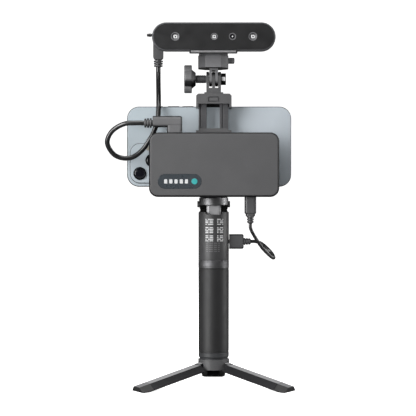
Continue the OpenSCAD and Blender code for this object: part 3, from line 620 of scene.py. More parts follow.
# Painted shade: the hub's lower half, looking down, is near black.
HUB = moulded("hub_plastic", grey(0.12, 0.003), 0.36, depth=0.014, under=grey(0.006, 0.001))
RAIL = metal("rail_metal", grey(0.1, 0.005), 0.42, (1, 1, 12), metallic=0.6)
# Painted shade: the plug's sides turned from the front are near black.
PLUG_TOP = moulded("top_plug_plastic", grey(0.09, 0.003), 0.5, depth=0.012, side=grey(0.008, 0.001))
LENS_RING = metal("lens_ring", (0.018, 0.019, 0.021), 0.4, (1, 1, 1), 0.002, 1.0, 900)
FLASH = glow("flash_lens", (0.25, 0.24, 0.20), 0.0)
DISPLAY = dark_glass("display", grey(0.01, 0.003), 0.05)
# Painted shade: the nut's sides turned from the front are near black.
NUT = moulded("nut_steel", grey(0.72, 0.01), 0.35, depth=0.008, mottle=0.05, side=grey(0.006))
BOARD = moulded("solder_mask", (0.01, 0.09, 0.04), 0.4, depth=0.02)
CELL = moulded("cell_wrap", (0.05, 0.18, 0.12), 0.35, depth=0.01)
# ---- battery handle

GRIP_LOW, GRIP_HIGH = mm_box("grip_sleeve")
NECK_LOW, NECK_HIGH = mm_box("tilt_neck")
TILT_HIGH = mm_box("tilt_cap")[1]
TUBE_TOP = TILT.z - 6.7
CAP_BASE = TILT_HIGH.z - 7.1
HANDLE_R = GRIP_HIGH.x
HANDLE_BORE = HANDLE_R - 1.7
HANDLE_SIDES = 96


def grip(bm):
    """Soft sleeve: a plain skin between two fine grooves."""
    low, high = GRIP_LOW.z, GRIP_HIGH.z
    r, lip, groove = HANDLE_R, HANDLE_R - 0.1, HANDLE_R - 0.25
    lower = [(HANDLE_BORE, 0), (lip, 0), (lip, 1.1), (groove, 1.2), (groove, 1.6), (r, 1.7)]
    points = [(x, low + z) for x, z in lower] + [(x, high - z) for x, z in reversed(lower)]
    radii = [0.1, 0.3, 0.05, 0.05, 0.05, 0.1]
    turn(bm, points, "z", ORIGIN, HANDLE_SIDES, radii + radii[::-1], 20)


def bottom_cap(bm):
    """Cap with a stepped foot and a hole for the crown's screw."""
    low, high = mm_box("handle_bottom_cap")
    r, foot, hole, base, top = HANDLE_R, HANDLE_R - 0.9, 3.1, low.z, high.z - 0.05
    points = [(hole, base), (foot, base), (foot, base + 1.2), (r, base + 1.25), (r, top), (hole, top)]
    turn(bm, points, "z", ORIGIN, HANDLE_SIDES, [0.1, 0.15, 0.1, 1.4, 0.35, 0.1], 12)


def ring_band(bm):
    """Bright band with two turned lines in it."""
    low, high = mm_box("ring_band")
    r, inner = high.x, high.x - 1.7
    points = [(inner, low.z), (r, low.z)]
    for at in (low.z + 1.3, high.z - 1.3):
        points += [(r, at - 0.2), (r - 0.18, at), (r, at + 0.2)]
    points += [(r, high.z), (inner, high.z)]
    turn(bm, points, "z", ORIGIN, HANDLE_SIDES, [0.1, 0.3] + [0] * 6 + [0.3, 0.1], 20)


def upper_tube(bm):
    """The tube with its closed top plate; notches and sockets are cut out after."""
    low, seat = mm_box("handle_tube")[0].z, NECK_LOW.z
    r, bore = HANDLE_R, HANDLE_BORE
    points = [(0, seat - 2), (bore, seat - 2), (bore, low), (r, low), (r, TUBE_TOP), (bore, TUBE_TOP),
              (bore, seat), (0, seat)]
    turn(bm, points, "z", ORIGIN, 120, [0.1, 0.1, 0.3, 0.6, 0.25, 0.1], 12)


def tube_cuts(bm):
    """Slot for the neck, socket of the plug and hole of the power button."""
    half = NECK_HIGH.x + 0.25
    block(bm, (-half, -30, NECK_LOW.z), (half, 30, TUBE_TOP + 4), 1.2, 0.01, "y", 1)
    solid(bm, rect(7.2, 4.2, 2, (0, middle("handle_plug").z)), "x", 5, 30, KNIFE, 1)
    rod(bm, 3.65, 4, 30, "y_back", (0, 0, middle("handle_power_button").z))


def curved_patch(bm, x0, x1, z0, z1, columns):
    """A thin film that follows the tube's front, between two widths and heights."""
    angles = [math.asin((x0 + (x1 - x0) * i / columns) / HANDLE_R) for i in range(columns + 1)]
    outline = [(HANDLE_R + 0.04, a) for a in angles] + [(HANDLE_R + 0.01, a) for a in reversed(angles)]
    loft(bm, [[Vector((r * math.sin(a), -r * math.cos(a), z)) for r, a in outline] for z in (z0, z1)])


def label_marks(bm):
    """Generic marks in place of the printed label: blocks of short bars in two columns."""
    for row in range(14):
        if row in (4, 9):
            continue
        z = TUBE_TOP - 6 - 1.42 * row
        bars = ((-7.1, -4.6), (-3.6, -0.6), (2.9, 4.0), (5.2, 8.0))
        if row % 3 == 0:
            bars = ((-7.1, -6.2), (-5.0, -0.4), (2.9, 6.2), (7.2, 8.2))
        for x0, x1 in bars:
            curved_patch(bm, x0, x1, z - 0.8, z, 5)


def faint_lines(bm):
    """Rows of dim dashes under the blocks."""
    for row in range(5):
        z = TUBE_TOP - 26.6 - 1.75 * row
        x = -6.6
        for k in range(4):
            length = 1.6 + 0.9 * ((row * 3 + k * 2) % 3)
            curved_patch(bm, x, min(x + length, 7.6), z - 0.55, z, 4)
            x += length + 0.9


def power_button(bm):
    """Dished round button on the back of the tube."""
    low, high = mm_box("handle_power_button")
    points = [(0, low.y), (3.45, low.y), (3.45, high.y), (2.4, high.y), (0, high.y - 0.35)]
    turn(bm, points, "y_back", (0, 0, middle("handle_power_button").z), 48, [0.2, 0.5, 0.8])


piece("grip_skin", grip, GRIP, "handle", "grip", "grip_sleeve")
piece("bottom_cap_shape", bottom_cap, BLACK, "handle", "black_plastic", "handle_bottom_cap")
redrawn("ring_band", ring_band, RING, "handle", "ring_metal")
cut(redrawn("handle_tube", upper_tube, TUBE, "handle", "handle_gloss"), tube_cuts)
piece("handle_label_marks", label_marks, PALE_PRINT, "handle", "handle_gloss")
piece("handle_label_lines", faint_lines, FAINT_PRINT, "handle", "handle_gloss")
redrawn("handle_power_button", power_button, BLACK, "handle_power_button", "handle_gloss")

# ---- neck and tilt cap


def tube_top_shade_ring(bm):
    """Painted shade: a black ring on the tube's top edge, in the shaded gap under the cap."""
    points = [(11.4, TUBE_TOP - 0.3), (12.9, TUBE_TOP - 0.3), (12.9, TUBE_TOP + 0.3), (11.4, TUBE_TOP + 0.3)]
    turn(bm, points, "z", ORIGIN, HANDLE_SIDES)


def saddles(bm):
    """Round rests beside the neck, shaped to the cheeks that turn in them; black as painted shade for the
    shaded gap.
    """
    right = ((6.4, -5), (11.4, -5), (12.1, 0), (11.4, 5), (6.4, 5))
    for side in (-1, 1):
        outline = fillet([(side * x, y) for x, y in right], 0.5)
        solid(bm, outline[::side], "z", TUBE_TOP - 2.2, TILT.z - 3.85, (0.1, 0.3), 2)


def saddle_cuts(bm):
    solid(bm, ring(5.72, (0, TILT.z), 64), "x", -20, 20, KNIFE, 1)


def neck(bm):
    """Round-cornered stem with a rounded tongue on top, through which the pin runs."""
    r = NECK_HIGH.x
    solid(bm, rect(2 * r, 1.8 * r, 3.2), "z", NECK_LOW.z + 0.02, CAP_BASE, (0.1, 0.4))
    points = [(0, -r * 0.82), (5.5, -r * 0.82), (5.5, r * 0.82), (0, r * 0.82)]
    turn(bm, points, "x", (0, 0, TILT.z), 64, [0.4, 0.4])


def tilt_cap(bm):
    """Drum over the pin with a round top edge; open below for the neck."""
    low, high, r = CAP_BASE, TILT_HIGH.z, TILT_HIGH.x
    points = [(0, low + 2), (7.6, low + 2), (7.6, low), (r, low), (r, high), (0, high)]
    turn(bm, points, "z", ORIGIN, 120, [0.2, 0.2, 0.5, 1.5], 12)


def cap_cuts(bm):
    block(bm, (-7.05, -8.4, CAP_BASE - 1), (7.05, 8.4, TILT_HIGH.z - 0.9), 0.5, 0.01, "z", 1)
    for start, end in ((-20, -12.3), (12.3, 20)):
        solid(bm, ring(2.8, (0, TILT.z), 40), "x", start, end, KNIFE, 1)


def cheeks(bm):
    """The two round ears that hang from the cap beside the neck, black as painted shade for the shaded gap."""
    for axis in ("x_back", "x"):
        points = [(0, 6.6), (5.6, 6.6), (5.6, 11.4), (3.4, 12.3), (0, 12.3)]
        turn(bm, points, axis, (0, 0, TILT.z), 56, [0.1, 0.2, 0.2])


def tilt_pin(bm):
    """The pin: an axle and two heads, each with a shallow round recess."""
    inner, outer = 12.35, mm_box("tilt_pin")[1].x
    dish = outer - 0.5
    for axis in ("x", "x_back"):
        points = [(0, inner), (2.75, inner), (2.75, outer), (1.5, outer), (1.1, dish), (0, dish)]
        turn(bm, points, axis, (0, 0, TILT.z), 40, [0.1, 0.5, 0.1, 0.1])
    rod(bm, 1.6, -12.4, 12.4, "x", (0, 0, TILT.z), 32)


# Painted shade: black ring on the tube's top edge.
cut(piece("tube_top_painted_shade", tube_top_shade_ring, PAINTED_SHADE_BLACK, "handle", "handle_gloss"), tube_cuts)
# Painted shade: the rests are black, for the shaded gap beside the neck.
cut(piece("tube_saddles", saddles, PAINTED_SHADE_BLACK, "handle", "handle_gloss"), saddle_cuts)
redrawn("tilt_neck", neck, NECK, "handle", "steel")
cut(redrawn("tilt_cap", tilt_cap, TILT_METAL, "tilt_head", "handle_gloss"), cap_cuts)
# Painted shade: the cheeks are black, for the shaded gap between cap and tube.
piece("tilt_cap_cheeks", cheeks, PAINTED_SHADE_BLACK, "tilt_head", "handle_gloss")
redrawn("tilt_pin", tilt_pin, TILT_METAL, "tilt_head", "handle_gloss")

# ---- tripod

refined("tripod_crown", CROWN, "handle", 0.35, 3)
for side in ("left", "right", "back"):
    refined(f"leg_{side}", LEG, f"leg_{side}", 0.6, 3)
    refined(f"foot_{side}", FOOT, f"leg_{side}", 0.7, 3)

# ---- battery box


def relief(bm, axis, centre, start, end, core, ribs):
    """Strain relief: a soft core with raised ribs, each (from, to, radius) along the axis."""
    points, radii = [(0, start), (core, start)], [0.5]
    for low, high, radius in ribs:
        edge = min(0.35, (high - low) / 3)
        points += [(core, low), (radius, low), (radius, high), (core, high)]
        radii += [0.1, edge, edge, 0.1]
    turn(bm, points + [(core, end), (0, end)], axis, centre, 40, radii + [0.1], 22)


def screw_head(bm, centre, radius, depth):
    """Small dished screw head that looks toward the back."""
    r, dish = radius, -depth * 0.6
    points = [(0, -depth), (r, -depth), (r, 0), (r * 0.45, 0), (r * 0.3, dish), (0, dish)]
    turn(bm, points, "y_back", centre, 32, [0.05, 0.12, 0.06, 0.05])


FRONT_LOW, FRONT_HIGH = mm_box("box_front_shell")
REAR_LOW, REAR_HIGH = mm_box("box_back_shell")
BADGE_LOW, BADGE_HIGH = mm_box("box_badge")
BOX_X, _, BOX_Z = middle("box_front_shell")
BOX_W, BOX_H = FRONT_HIGH.x - FRONT_LOW.x, FRONT_HIGH.z - FRONT_LOW.z
BOX_R, BOX_WALL = 7.5, 1.8
BOX_OUTLINE = rect(BOX_W, BOX_H, BOX_R, (BOX_X, BOX_Z), 6)
BOX_ROOM = rect(BOX_W - 2 * BOX_WALL, BOX_H - 2 * BOX_WALL, BOX_R - BOX_WALL, (BOX_X, BOX_Z))
SCREW_X, SCREW_Z = BOX_W / 2 - 8, BOX_H / 2 - 8
BOX_SCREWS = [(BOX_X + x, BOX_Z + z) for x in (-SCREW_X, SCREW_X) for z in (-SCREW_Z, SCREW_Z)]
BADGE_X, _, BADGE_Z = middle("box_badge")
BADGE_R = (BADGE_HIGH.z - BADGE_LOW.z) / 2
BADGE_HALF = (BADGE_HIGH.x - BADGE_LOW.x) / 2 - BADGE_R
BAR_SIZE = (2.7, 3.6)


def box_front(bm):
    """Front half of the box: flat face with a round rim that falls back to the split."""
    solid(bm, BOX_OUTLINE, "y", FRONT_LOW.y, FRONT_HIGH.y, (2.1, 0.12), 7)


def box_front_cuts(bm):
    """The hollow inside and the badge's seat."""
    solid(bm, BOX_ROOM, "y", FRONT_LOW.y + 2, FRONT_HIGH.y + 1, KNIFE, 1)
    seat = pill(BADGE_HALF, BADGE_R + 0.06, (BADGE_X, BADGE_Z))
    solid(bm, seat, "y", FRONT_LOW.y - 1, FRONT_LOW.y + 0.88, KNIFE, 1)


def box_holes(bm):
    """Ports for both plugs and the hole of the power button."""
    y = -21.6
    ports = ((-32.5, FRONT_HIGH.z, 2.7, 3.7), (middle("box_bottom_plug").x, FRONT_LOW.z, 3.8, 3.2))
    for x, z, half_x, half_y in ports:
        block(bm, (x - half_x, y - half_y, z - 3), (x + half_x, y + half_y, z + 3), 1, 0.01, "z", 1)
    key = middle("box_power_button")
    rod(bm, 3.15, -4, 4, "z", (key.x, key.y, FRONT_HIGH.z))


def box_rear(bm):
    """Rear half of the box; its rounded lip lets the split show as a fine line."""
    solid(bm, BOX_OUTLINE, "y", REAR_LOW.y, REAR_HIGH.y, (0.25, 1.6), 5)


def box_rear_cuts(bm):
    """The hollow inside and the screws' seats."""
    solid(bm, BOX_ROOM, "y", REAR_LOW.y - 1, REAR_HIGH.y - 2, KNIFE, 1)
    for x, z in BOX_SCREWS:
        rod(bm, 2.2, -0.9, 1, "y_back", (x, REAR_HIGH.y, z), 40)


def box_screws(bm):
    for x, z in BOX_SCREWS:
        screw_head(bm, (x, REAR_HIGH.y - 0.35, z), 1.9, 0.5)


def badge(bm):
    solid(bm, pill(BADGE_HALF, BADGE_R, (BADGE_X, BADGE_Z)), "y", BADGE_LOW.y, BADGE_HIGH.y, (0.2, 0.05), 3)


def badge_bars(bm):
    """Five plain bars, a stand-in for the printed name."""
    for k in range(5):
        bar = rect(*BAR_SIZE, 0.6, (BADGE_X - 11.85 + 4.4 * k, BADGE_Z))
        solid(bm, bar, "y", BADGE_LOW.y - 0.06, BADGE_LOW.y + 0.1, (0.03, 0.03), 2)


def badge_dot(bm):
    """The teal status light."""
    points = [(0, -0.1), (2.5, -0.1), (2.5, 0.12), (1.9, 0.2), (0, 0.2)]
    turn(bm, points, "y", (BADGE_X + 12.6, BADGE_LOW.y, BADGE_Z), 48, [0.05, 0.1, 0.2])


def box_key(bm):
    """Round push button on the box's top, a little hollow."""
    low, high = mm_box("box_power_button")
    r = (high.x - low.x) / 2
    points = [(0, low.z), (r, low.z), (r, high.z), (r * 0.7, high.z), (0, high.z - 0.3)]
    key = middle("box_power_button")
    turn(bm, points, "z", (key.x, key.y, 0), 48, [0.2, 0.5, 0.6])


front = piece("box_front_shape", box_front, BOX_FACE, "tilt_head", "box_shell", "box_front_shell")
cut(front, box_front_cuts, box_holes)
rear = piece("box_rear_shape", box_rear, BOX_BACK, "tilt_head", "box_shell_back", "box_back_shell")
cut(rear, box_rear_cuts, box_holes)
piece("box_screw_heads", box_screws, STEEL, "tilt_head", "steel")
redrawn("box_badge", badge, BADGE, "tilt_head", "badge")
piece("badge_bars", badge_bars, PALE_PRINT, "tilt_head", "badge")
piece("badge_status_light", badge_dot, TEAL, "tilt_head", "badge")
redrawn("box_power_button", box_key, BLACK, "box_power_button", "black_plastic")
refined("box_mount_plate", BLACK, "tilt_head")

# ---- plugs


def ribs(first, pitch, width, radius, growth=0.1):
    """Three ribs of a strain relief."""
    return [(first + pitch * i, first + pitch * i + width, radius + growth * i) for i in range(3)]


def top_plug(bm):
    """Right-angle plug on the box: round-cornered body, short neck, ribbed relief to the left."""
    low, high = mm_box("box_top_plug")
    y, right, top, floor = -21.5, high.x, high.z, FRONT_HIGH.z
    base = top - 9.5
    solid(bm, rect(9, top - base, 2.8, (y, (base + top) / 2)), "x", right - 25.1, right, (0.7, 1.8), 5)
    solid(bm, rect(13, 9, 2.5, (-33.5, y)), "z", floor + 0.02, base + 1.5, (0.35, 0.1), 3)
    block(bm, (-34.6, y - 2.4, floor - 4.4), (-30.4, y + 2.4, floor + 1), 0.8, 0.2, "z", 2)
    relief(bm, "x", (0, y, base + 3.5), low.x, right - 24, 2.45, ribs(-59.2, 2.3, 1.5, 3.9))


def bottom_plug(bm):
    """Straight plug under the box, narrower at the cable's end."""
    x, y, top = middle("box_bottom_plug").x, -22, FRONT_LOW.z - 0.02
    solid(bm, rect(10, 7, 2.6, (x, y)), "z", 134.5, top, (1.5, 0.3), 5)
    solid(bm, rect(8, 6, 2.4, (x, y)), "z", 132.5, 136.5, (0.9, 0.1), 4)
    block(bm, (x - 3.4, y - 2.4, top - 1), (x + 3.4, y + 2.4, top + 4.4), 1, 0.2, "z", 2)
    relief(bm, "z", (x, y, 0), mm_box("box_bottom_plug")[0].z, 134, 2.05, ribs(127.2, 2.1, 1.6, 2.8))


def handle_plug(bm):
    """Plug in the handle's side, with its relief toward the cable."""
    z = middle("handle_plug").z
    solid(bm, rect(7.4, 12.8, 2.2, (0, z)), "x", HANDLE_R + 0.3, 26, (0.4, 1.4), 5)
    solid(bm, rect(6.8, 3.6, 1.7, (0, z)), "x", HANDLE_R - 5, HANDLE_R + 1, (0.2, 0.1), 2)
    relief(bm, "x", (0, 0, z), 25, mm_box("handle_plug")[1].x, 2.15, ribs(25.9, 2.1, 1.7, 3.05, -0.15))


SOCKET_X, SOCKET_Y = -49.2, 28.7


def scanner_plug(bm):
    """Plug on the scanner's back: upright body with a relief below."""
    low, high = mm_box("scanner_plug")
    x, base, front = SOCKET_X, 271.5, high.y - 8.7
    solid(bm, rect(9, high.z - base, 2.8, (x, (base + high.z) / 2)), "y", front, high.y, (0.5, 1.5), 5)
    block(bm, (x + 2.3, front - 2.7, 282.9), (x + 4.4, front + 1, 288.8), 0.6, 0.15, "y", 2)
    relief(bm, "z", (x, SOCKET_Y, 0), low.z, base + 1, 2.25, ribs(265.6, 2, 1.3, 3.9))


def lock_pin(bm):
    """The pin that holds the scanner's plug, seen beside the housing."""
    tip, near, far, root = mm_box("scanner_plug")[0].x, -57.9, -55.5, -50
    points = [(0, tip), (1.25, tip), (1.25, near), (1.5, near), (1.5, far), (1.2, far), (1.2, root), (0, root)]
    turn(bm, points, "x", (0, SOCKET_Y, 293.7), 32, [0.3, 0.05, 0.1, 0.1, 0.05, 0.05])


redrawn("box_top_plug", top_plug, PLUG_TOP, "tilt_head", "cable")
redrawn("box_bottom_plug", bottom_plug, PLUG, "tilt_head", "cable")
redrawn("handle_plug", handle_plug, PLUG, "handle", "cable")
redrawn("scanner_plug", scanner_plug, PLUG, "scanner_head", "cable")
piece("scanner_lock_pin", lock_pin, DARK, "scanner_head", "black_plastic")

# ---- cables

JOIN = (-48, 2.6, 235.2)
USB_PATH = [
    (31.2, -22, 127.2), (31.25, -22, 125.5), (31.5, -21.9, 122.3), (34, -21.5, 117), (41.2, -20, 106),
    (49.6, -14.5, 97.7), (51.9, -8.8, 97.4), (48.9, -2.4, 102.4), (41.8, -0.4, 108.8), (36.4, 0, 110.6),
    (32.9, 0, 110.7), (31.6, 0, 110.7),
]
LOWER_PATH = [
    (-58.9, -21.5, 212.3), (-60.2, -21.5, 212.3), (-66, -21.3, 212.4), (-77, -19.8, 211.6),
    (-87.5, -15.5, 205.5), (-91.6, -12.5, 195.5), (-85, -9.5, 185.2), (-73, -8, 182.9),
    (-62.4, -7.5, 189.2), (-53.6, -7.5, 202), (-49, -6.2, 214), (-47.9, -2.4, 226), (-47.95, 0.6, 232), JOIN,
]
UPPER_PATH = [
    JOIN, (-48.2, 7, 239.5), (-48.9, 21, 251.5), (SOCKET_X, 28.3, 259.5), (SOCKET_X, SOCKET_Y, 264),
    (SOCKET_X, SOCKET_Y, 265.6),
]


def cable(name, node, path, radius):
    """A cable on a fixed curve through its path, from a start point to an end point; it rides on no body."""
    mesh = drawn(lambda bm: cord(bm, path, radius), name)
    obj = finish_piece(name, mesh, CABLE, None, [node], sharp=CABLE_SHARP, weighted=False)
    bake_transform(obj)


cable("usb_cable_skin", "usb_cable", USB_PATH, 1.45)
cable("scanner_cable_lower", "scanner_cable", LOWER_PATH, 2.1)
cable("scanner_cable_upper", "scanner_cable", UPPER_PATH, 2.1)

# ---- phone

PHONE_LOW, PHONE_HIGH = mm_box("phone_frame")
PHONE_X, _, PHONE_Z = middle("phone_frame")
PHONE_Y0, PHONE_Y1 = mm_box("phone_back_glass")[0].y, mm_box("phone_screen")[1].y
ISLAND_LOW, ISLAND_HIGH = mm_box("phone_camera_island")
ISLAND_X, _, ISLAND_Z = middle("phone_camera_island")
LENS_SEATS = [(ISLAND_X + dx, ISLAND_LOW.y, ISLAND_Z + dz) for dx, dz in ((-7.9, -8.9), (2.6, 2.5))]
PHONE_KEYS = ("volume_up_button", "volume_down_button", "action_button")


def phone_outline(distance):
    """The phone's outline, moved inward."""
    size = PHONE_HIGH - PHONE_LOW
    return rect(size.x - 2 * distance, size.z - 2 * distance, 10.5 - distance, (PHONE_X, PHONE_Z), 5)


def phone_band(bm):
    """Metal band with round long edges."""
    solid(bm, phone_outline(0), "y", PHONE_Y0 + 0.75, PHONE_Y1 - 0.75, (0.9, 0.9), 5)


def phone_band_cuts(bm):
    """Slots of the keys, the port and two rows of speaker holes in the right end."""
    for node in PHONE_KEYS:
        low, high = mm_box(node)
        block(bm, low - Vector((0.1, 0.1, 0.5)), high + Vector((0.1, 0.1, 2)), 0.65, 0.01, "z", 1)
    end, y, z = PHONE_HIGH.x, (PHONE_Y0 + PHONE_Y1) / 2, PHONE_Z
    block(bm, (end - 1.2, y - 1.3, z - 4.4), (end + 1, y + 1.3, z + 4.4), 1.25, 0.01, "x", 1)
    for side in (-1, 1):
        for k in range(5):
            rod(bm, 0.75, -1, 1, "x", (end, y, z + side * (11 + 2.6 * k)), 20)


def phone_back(bm):
    solid(bm, phone_outline(0.35), "y", PHONE_Y0, PHONE_Y0 + 1.1, (0.55, 0.05), 5)


def phone_screen(bm):
    solid(bm, phone_outline(0.35), "y", PHONE_Y1 - 1.1, PHONE_Y1, (0.05, 0.5), 5)


def display_edge(bm):
    """The lit area's border shows as a faint step under the glass."""
    solid(bm, phone_outline(2.6), "y", PHONE_Y1 - 0.3, PHONE_Y1 + 0.01, (0.01, 0.005), 1)


def island(bm):
    """Raised pane round the cameras, its edge swept down onto the back."""
    size = ISLAND_HIGH - ISLAND_LOW
    outline = rect(size.x, size.z, 8.5, (ISLAND_X, ISLAND_Z), 6)
    solid(bm, outline, "y", ISLAND_LOW.y, PHONE_Y0 + 0.02, (0.9, 0.01), 5)


def lens_seats(bm):
    for seat in LENS_SEATS:
        rod(bm, 5.62, -1, 1.05, "y", seat, 56)


def lens_rings(bm):
    """Metal rings round the lenses."""
    for seat in LENS_SEATS:
        turn(bm, [(4.3, -0.9), (5.6, -0.9), (5.6, 1.2), (4.3, 1.2)], "y", seat, 56, [0.05, 0.1, 0.4, 0.3], 20)


def lens_glass(bm):
    """Domed glass with a straight black barrel under it."""
    r, rim, rise = 4.25, 0.72, 0.3
    angles = [math.radians(a) for a in range(15, 90, 15)]
    dome = [(r * math.cos(a), rim + rise * math.sin(a)) for a in angles]
    for seat in LENS_SEATS:
        turn(bm, [(0, -0.8), (r, -0.8), (r, rim), *dome, (0, rim + rise)], "y", seat, 56)


def flash(bm):
    points = [(0, -0.3), (2.1, -0.3), (2.1, 0.12), (0, 0.16)]
    turn(bm, points, "y", (ISLAND_X - 0.6, ISLAND_LOW.y, ISLAND_HIGH.z - 4.4), 40, [0.05, 0.12])


def phone_key(node):
    """Returns the drawing of one pill-shaped key."""
    def build(bm):
        low, high = mm_box(node)
        size, mid = high - low, middle(node)
        outline = rect(size.x, size.y, min(1.55, size.x / 2 - 0.02), (mid.x, mid.y))
        solid(bm, outline, "z", low.z, high.z, (0.1, 0.2), 3)
    return build


cut(piece("phone_band", phone_band, PHONE_METAL, "phone", "phone_metal", "phone_frame"), phone_band_cuts)
piece("phone_back_pane", phone_back, PHONE_BACK, "phone", "phone_back", "phone_back_glass")
piece("phone_screen_pane", phone_screen, SCREEN, "phone", "phone_glass", "phone_screen")
piece("phone_display", display_edge, DISPLAY, "phone", "phone_glass")
# The island pane takes the back glass, with its painted shade and painted dark rim.
cut(piece("phone_island_pane", island, PHONE_BACK, "phone", "phone_back", "phone_camera_island"), lens_seats)
piece("phone_lens_rings", lens_rings, LENS_RING, "phone", "phone_metal")
piece("phone_lens_glass", lens_glass, LENS, "phone", "phone_glass", "phone_lenses")
piece("phone_flash", flash, FLASH, "phone", "phone_glass")
for node in PHONE_KEYS:
    redrawn(node, phone_key(node), PHONE_METAL, node, "phone_metal")

# ---- clamp

refined("lower_jaw", JAW, "tilt_head", 0.5, 3)
refined("lower_jaw_pad", RUBBER, "tilt_head", 0.35)
refined("clamp_body", JAW, "tilt_head", 0.45, 3)
refined("upper_jaw_pad", RUBBER, "clamp_jaw")
refined("jaw_rails", RAIL, "clamp_jaw", 0.22)
refined("upper_jaw", JAW, "clamp_jaw", 0.45, 3)
prongs = refined("prong_mount", JAW, "clamp_jaw", 0.3, 3)
refined("hinge_nut", NUT, "clamp_jaw", 0.2)

JAW_LOW, JAW_HIGH = mm_box("upper_jaw")
ON_HINGE = (0, 0, HINGE.z)


def nut_opening(bm):
    """Window in the nut's seat that shows the nut's front flat."""
    low = mm_box("hinge_nut")[0]
    block(bm, (low.x - 0.2, -9, HINGE.z - 1.75), (12, low.y + 0.4, HINGE.z + 1.75), 0.3, 0.01, "y", 1)


def hinge_gap_shades(bm):
    """Painted shade: thin black discs that fill the gaps between the prongs, where shade falls."""
    for x in (-3.95, -1.4, 1.2, 3.8):
        turn(bm, [(2.35, x - 0.08), (5.6, x - 0.08), (5.6, x + 0.08), (2.35, x + 0.08)], "x", ON_HINGE, 56)


def seat_shade_sleeve(bm):
    """Painted shade: a thin black sleeve on the nut's seat, round the nut's window."""
    end = mm_box("prong_mount")[1].x - 0.1
    turn(bm, [(4.9, 6.45), (5.08, 6.45), (5.08, end), (4.9, end)], "x", ON_HINGE, 64)


def jaw_bar(bm):
    """Raised bar in the jaw's front recess."""
    z = JAW_HIGH.z - 4.95
    block(bm, (-4.1, JAW_LOW.y + 0.25, z - 1.55), (4.1, JAW_LOW.y + 1.6, z + 1.55), 0.7, 0.3)


def jaw_screws(bm):
    """Two small screws in the lip that hold the pad."""
    for x in (-9.5, 9.5):
        screw_head(bm, (x, JAW_HIGH.y + 0.02, JAW_HIGH.z - 5.2), 1.5, 0.4)


cut(prongs, nut_opening)
# Painted shade: black discs in the gaps between the prongs.
piece("hinge_gap_shades", hinge_gap_shades, PAINTED_SHADE_BLACK, "clamp_jaw", "black_plastic")
# Painted shade: black sleeve round the nut's window.
cut(piece("hinge_nut_seat_shade", seat_shade_sleeve, PAINTED_SHADE_BLACK, "clamp_jaw", "black_plastic"), nut_opening)
piece("jaw_front_bar", jaw_bar, JAW, "clamp_jaw", "black_plastic")
piece("jaw_lip_screws", jaw_screws, STEEL, "clamp_jaw", "steel")

# ---- thumb screw

KNOB_LOW, KNOB_HIGH = mm_box("thumb_screw_knob")
WING_R = 4.75


def knob(bm):
    """The knob's round-ended wing."""
    half = (KNOB_HIGH.z - KNOB_LOW.z) / 2
    wing = [Vector((p.y, p.x + HINGE.z)) for p in reversed(pill(half - WING_R, WING_R, step=9))]
    solid(bm, wing, "x", KNOB_LOW.x, -19, (0.9, 0.6), 4)


def knob_hub(bm):
    """The knob's hub, which slopes down to the screw."""
    low, high = KNOB_LOW.x + 0.3, KNOB_HIGH.x
    points = [(0, low), (8.1, low), (8.4, -19.4), (8.2, -18.9), (5.6, high), (0, high)]
    turn(bm, points, "x", ON_HINGE, 64, [1.2, 0.3, 0.5, 0.4])


def knob_cap(bm):
    """Round plug over the screw's head."""
    low, high = KNOB_LOW.x - 0.02, KNOB_LOW.x + 0.5
    turn(bm, [(0, low), (3.4, low), (3.8, high), (0, high)], "x", ON_HINGE, 48, [0.3, 0.05])


def shank(bm):
    """Screw with a knurled collar between the knob and the prongs, and a thread beyond it."""
    low, high = mm_box("thumb_screw_shank")
    start, end = -15.5, -6.52
    points = [(0, low.x), (2, low.x), (2, start), (3.3, start)]
    for k in range(5):
        x = start + 0.6 + 1.5 * k
        points += [(3.3, x), (3.5, x + 0.25), (3.5, x + 0.95), (3.3, x + 1.2)]
    points += [(3.3, end), (1.95, end + 0.1)]
    x = end + 0.5
    while x + 0.8 < high.x:
        points += [(1.97, x), (1.8, x + 0.35), (1.97, x + 0.7)]
        x += 0.8
    turn(bm, points + [(1.97, high.x - 0.3), (1.6, high.x), (0, high.x)], "x", ON_HINGE)


redrawn("thumb_screw_knob", knob, KNOB, "thumb_screw", "black_plastic")
piece("thumb_screw_hub", knob_hub, HUB, "thumb_screw", "black_plastic")
piece("thumb_screw_cap", knob_cap, DARK, "thumb_screw", "black_plastic")
redrawn("thumb_screw_shank", shank, RAIL, "thumb_screw", "steel")

# ---- quick release

PLATE_LOW, PLATE_HIGH = mm_box("quick_release_plate")
refined("quick_release_base", RELEASE, "scanner_head", 0.6, 4)


def plate(bm):
    """Metal plate under the scanner with a turned-up front lip and the screw that holds the housing."""
    left, front, z = PLATE_LOW
    right, back = PLATE_HIGH.x, PLATE_HIGH.y
    block(bm, (-12.8, front + 1.2, z), (12.2, back, z + 1.75), 2.2, 0.25, "z")
    block(bm, (left, front + 1.2, z), (right, front + 5, z + 1.75), 1.2, 0.25, "z")
    block(bm, (left, front, z), (right, front + 1.5, z + 2.85), 0.9, 0.3)
    turn(bm, [(0, z + 1.5), (3, z + 1.5), (3, z + 6.6), (0, z + 6.6)], "z", ORIGIN, 40, [0.05, 0.5])


def plate_ends(bm):
    """Dark end stops, and strips of painted shade along the bottom and top of the plate's bright front strip.
    """
    left, front, z = PLATE_LOW
    right = PLATE_HIGH.x
    for x0, x1 in ((left - 0.1, left + 1.3), (right - 1.3, right + 0.1)):
        block(bm, (x0, front - 0.15, z - 0.05), (x1, front + 1.6, z + 2.9), 0.5, 0.25, "y", 2)
    # Painted shade: dark strips on the front strip's edges; the top one is the scanner's shadow on the plate.
    for low in (z - 0.05, z + 2.2):
        block(bm, (left + 0.6, front - 0.1, low), (right - 0.6, front + 1.2, low + 0.7), 0.2, 0.1, "y", 2)


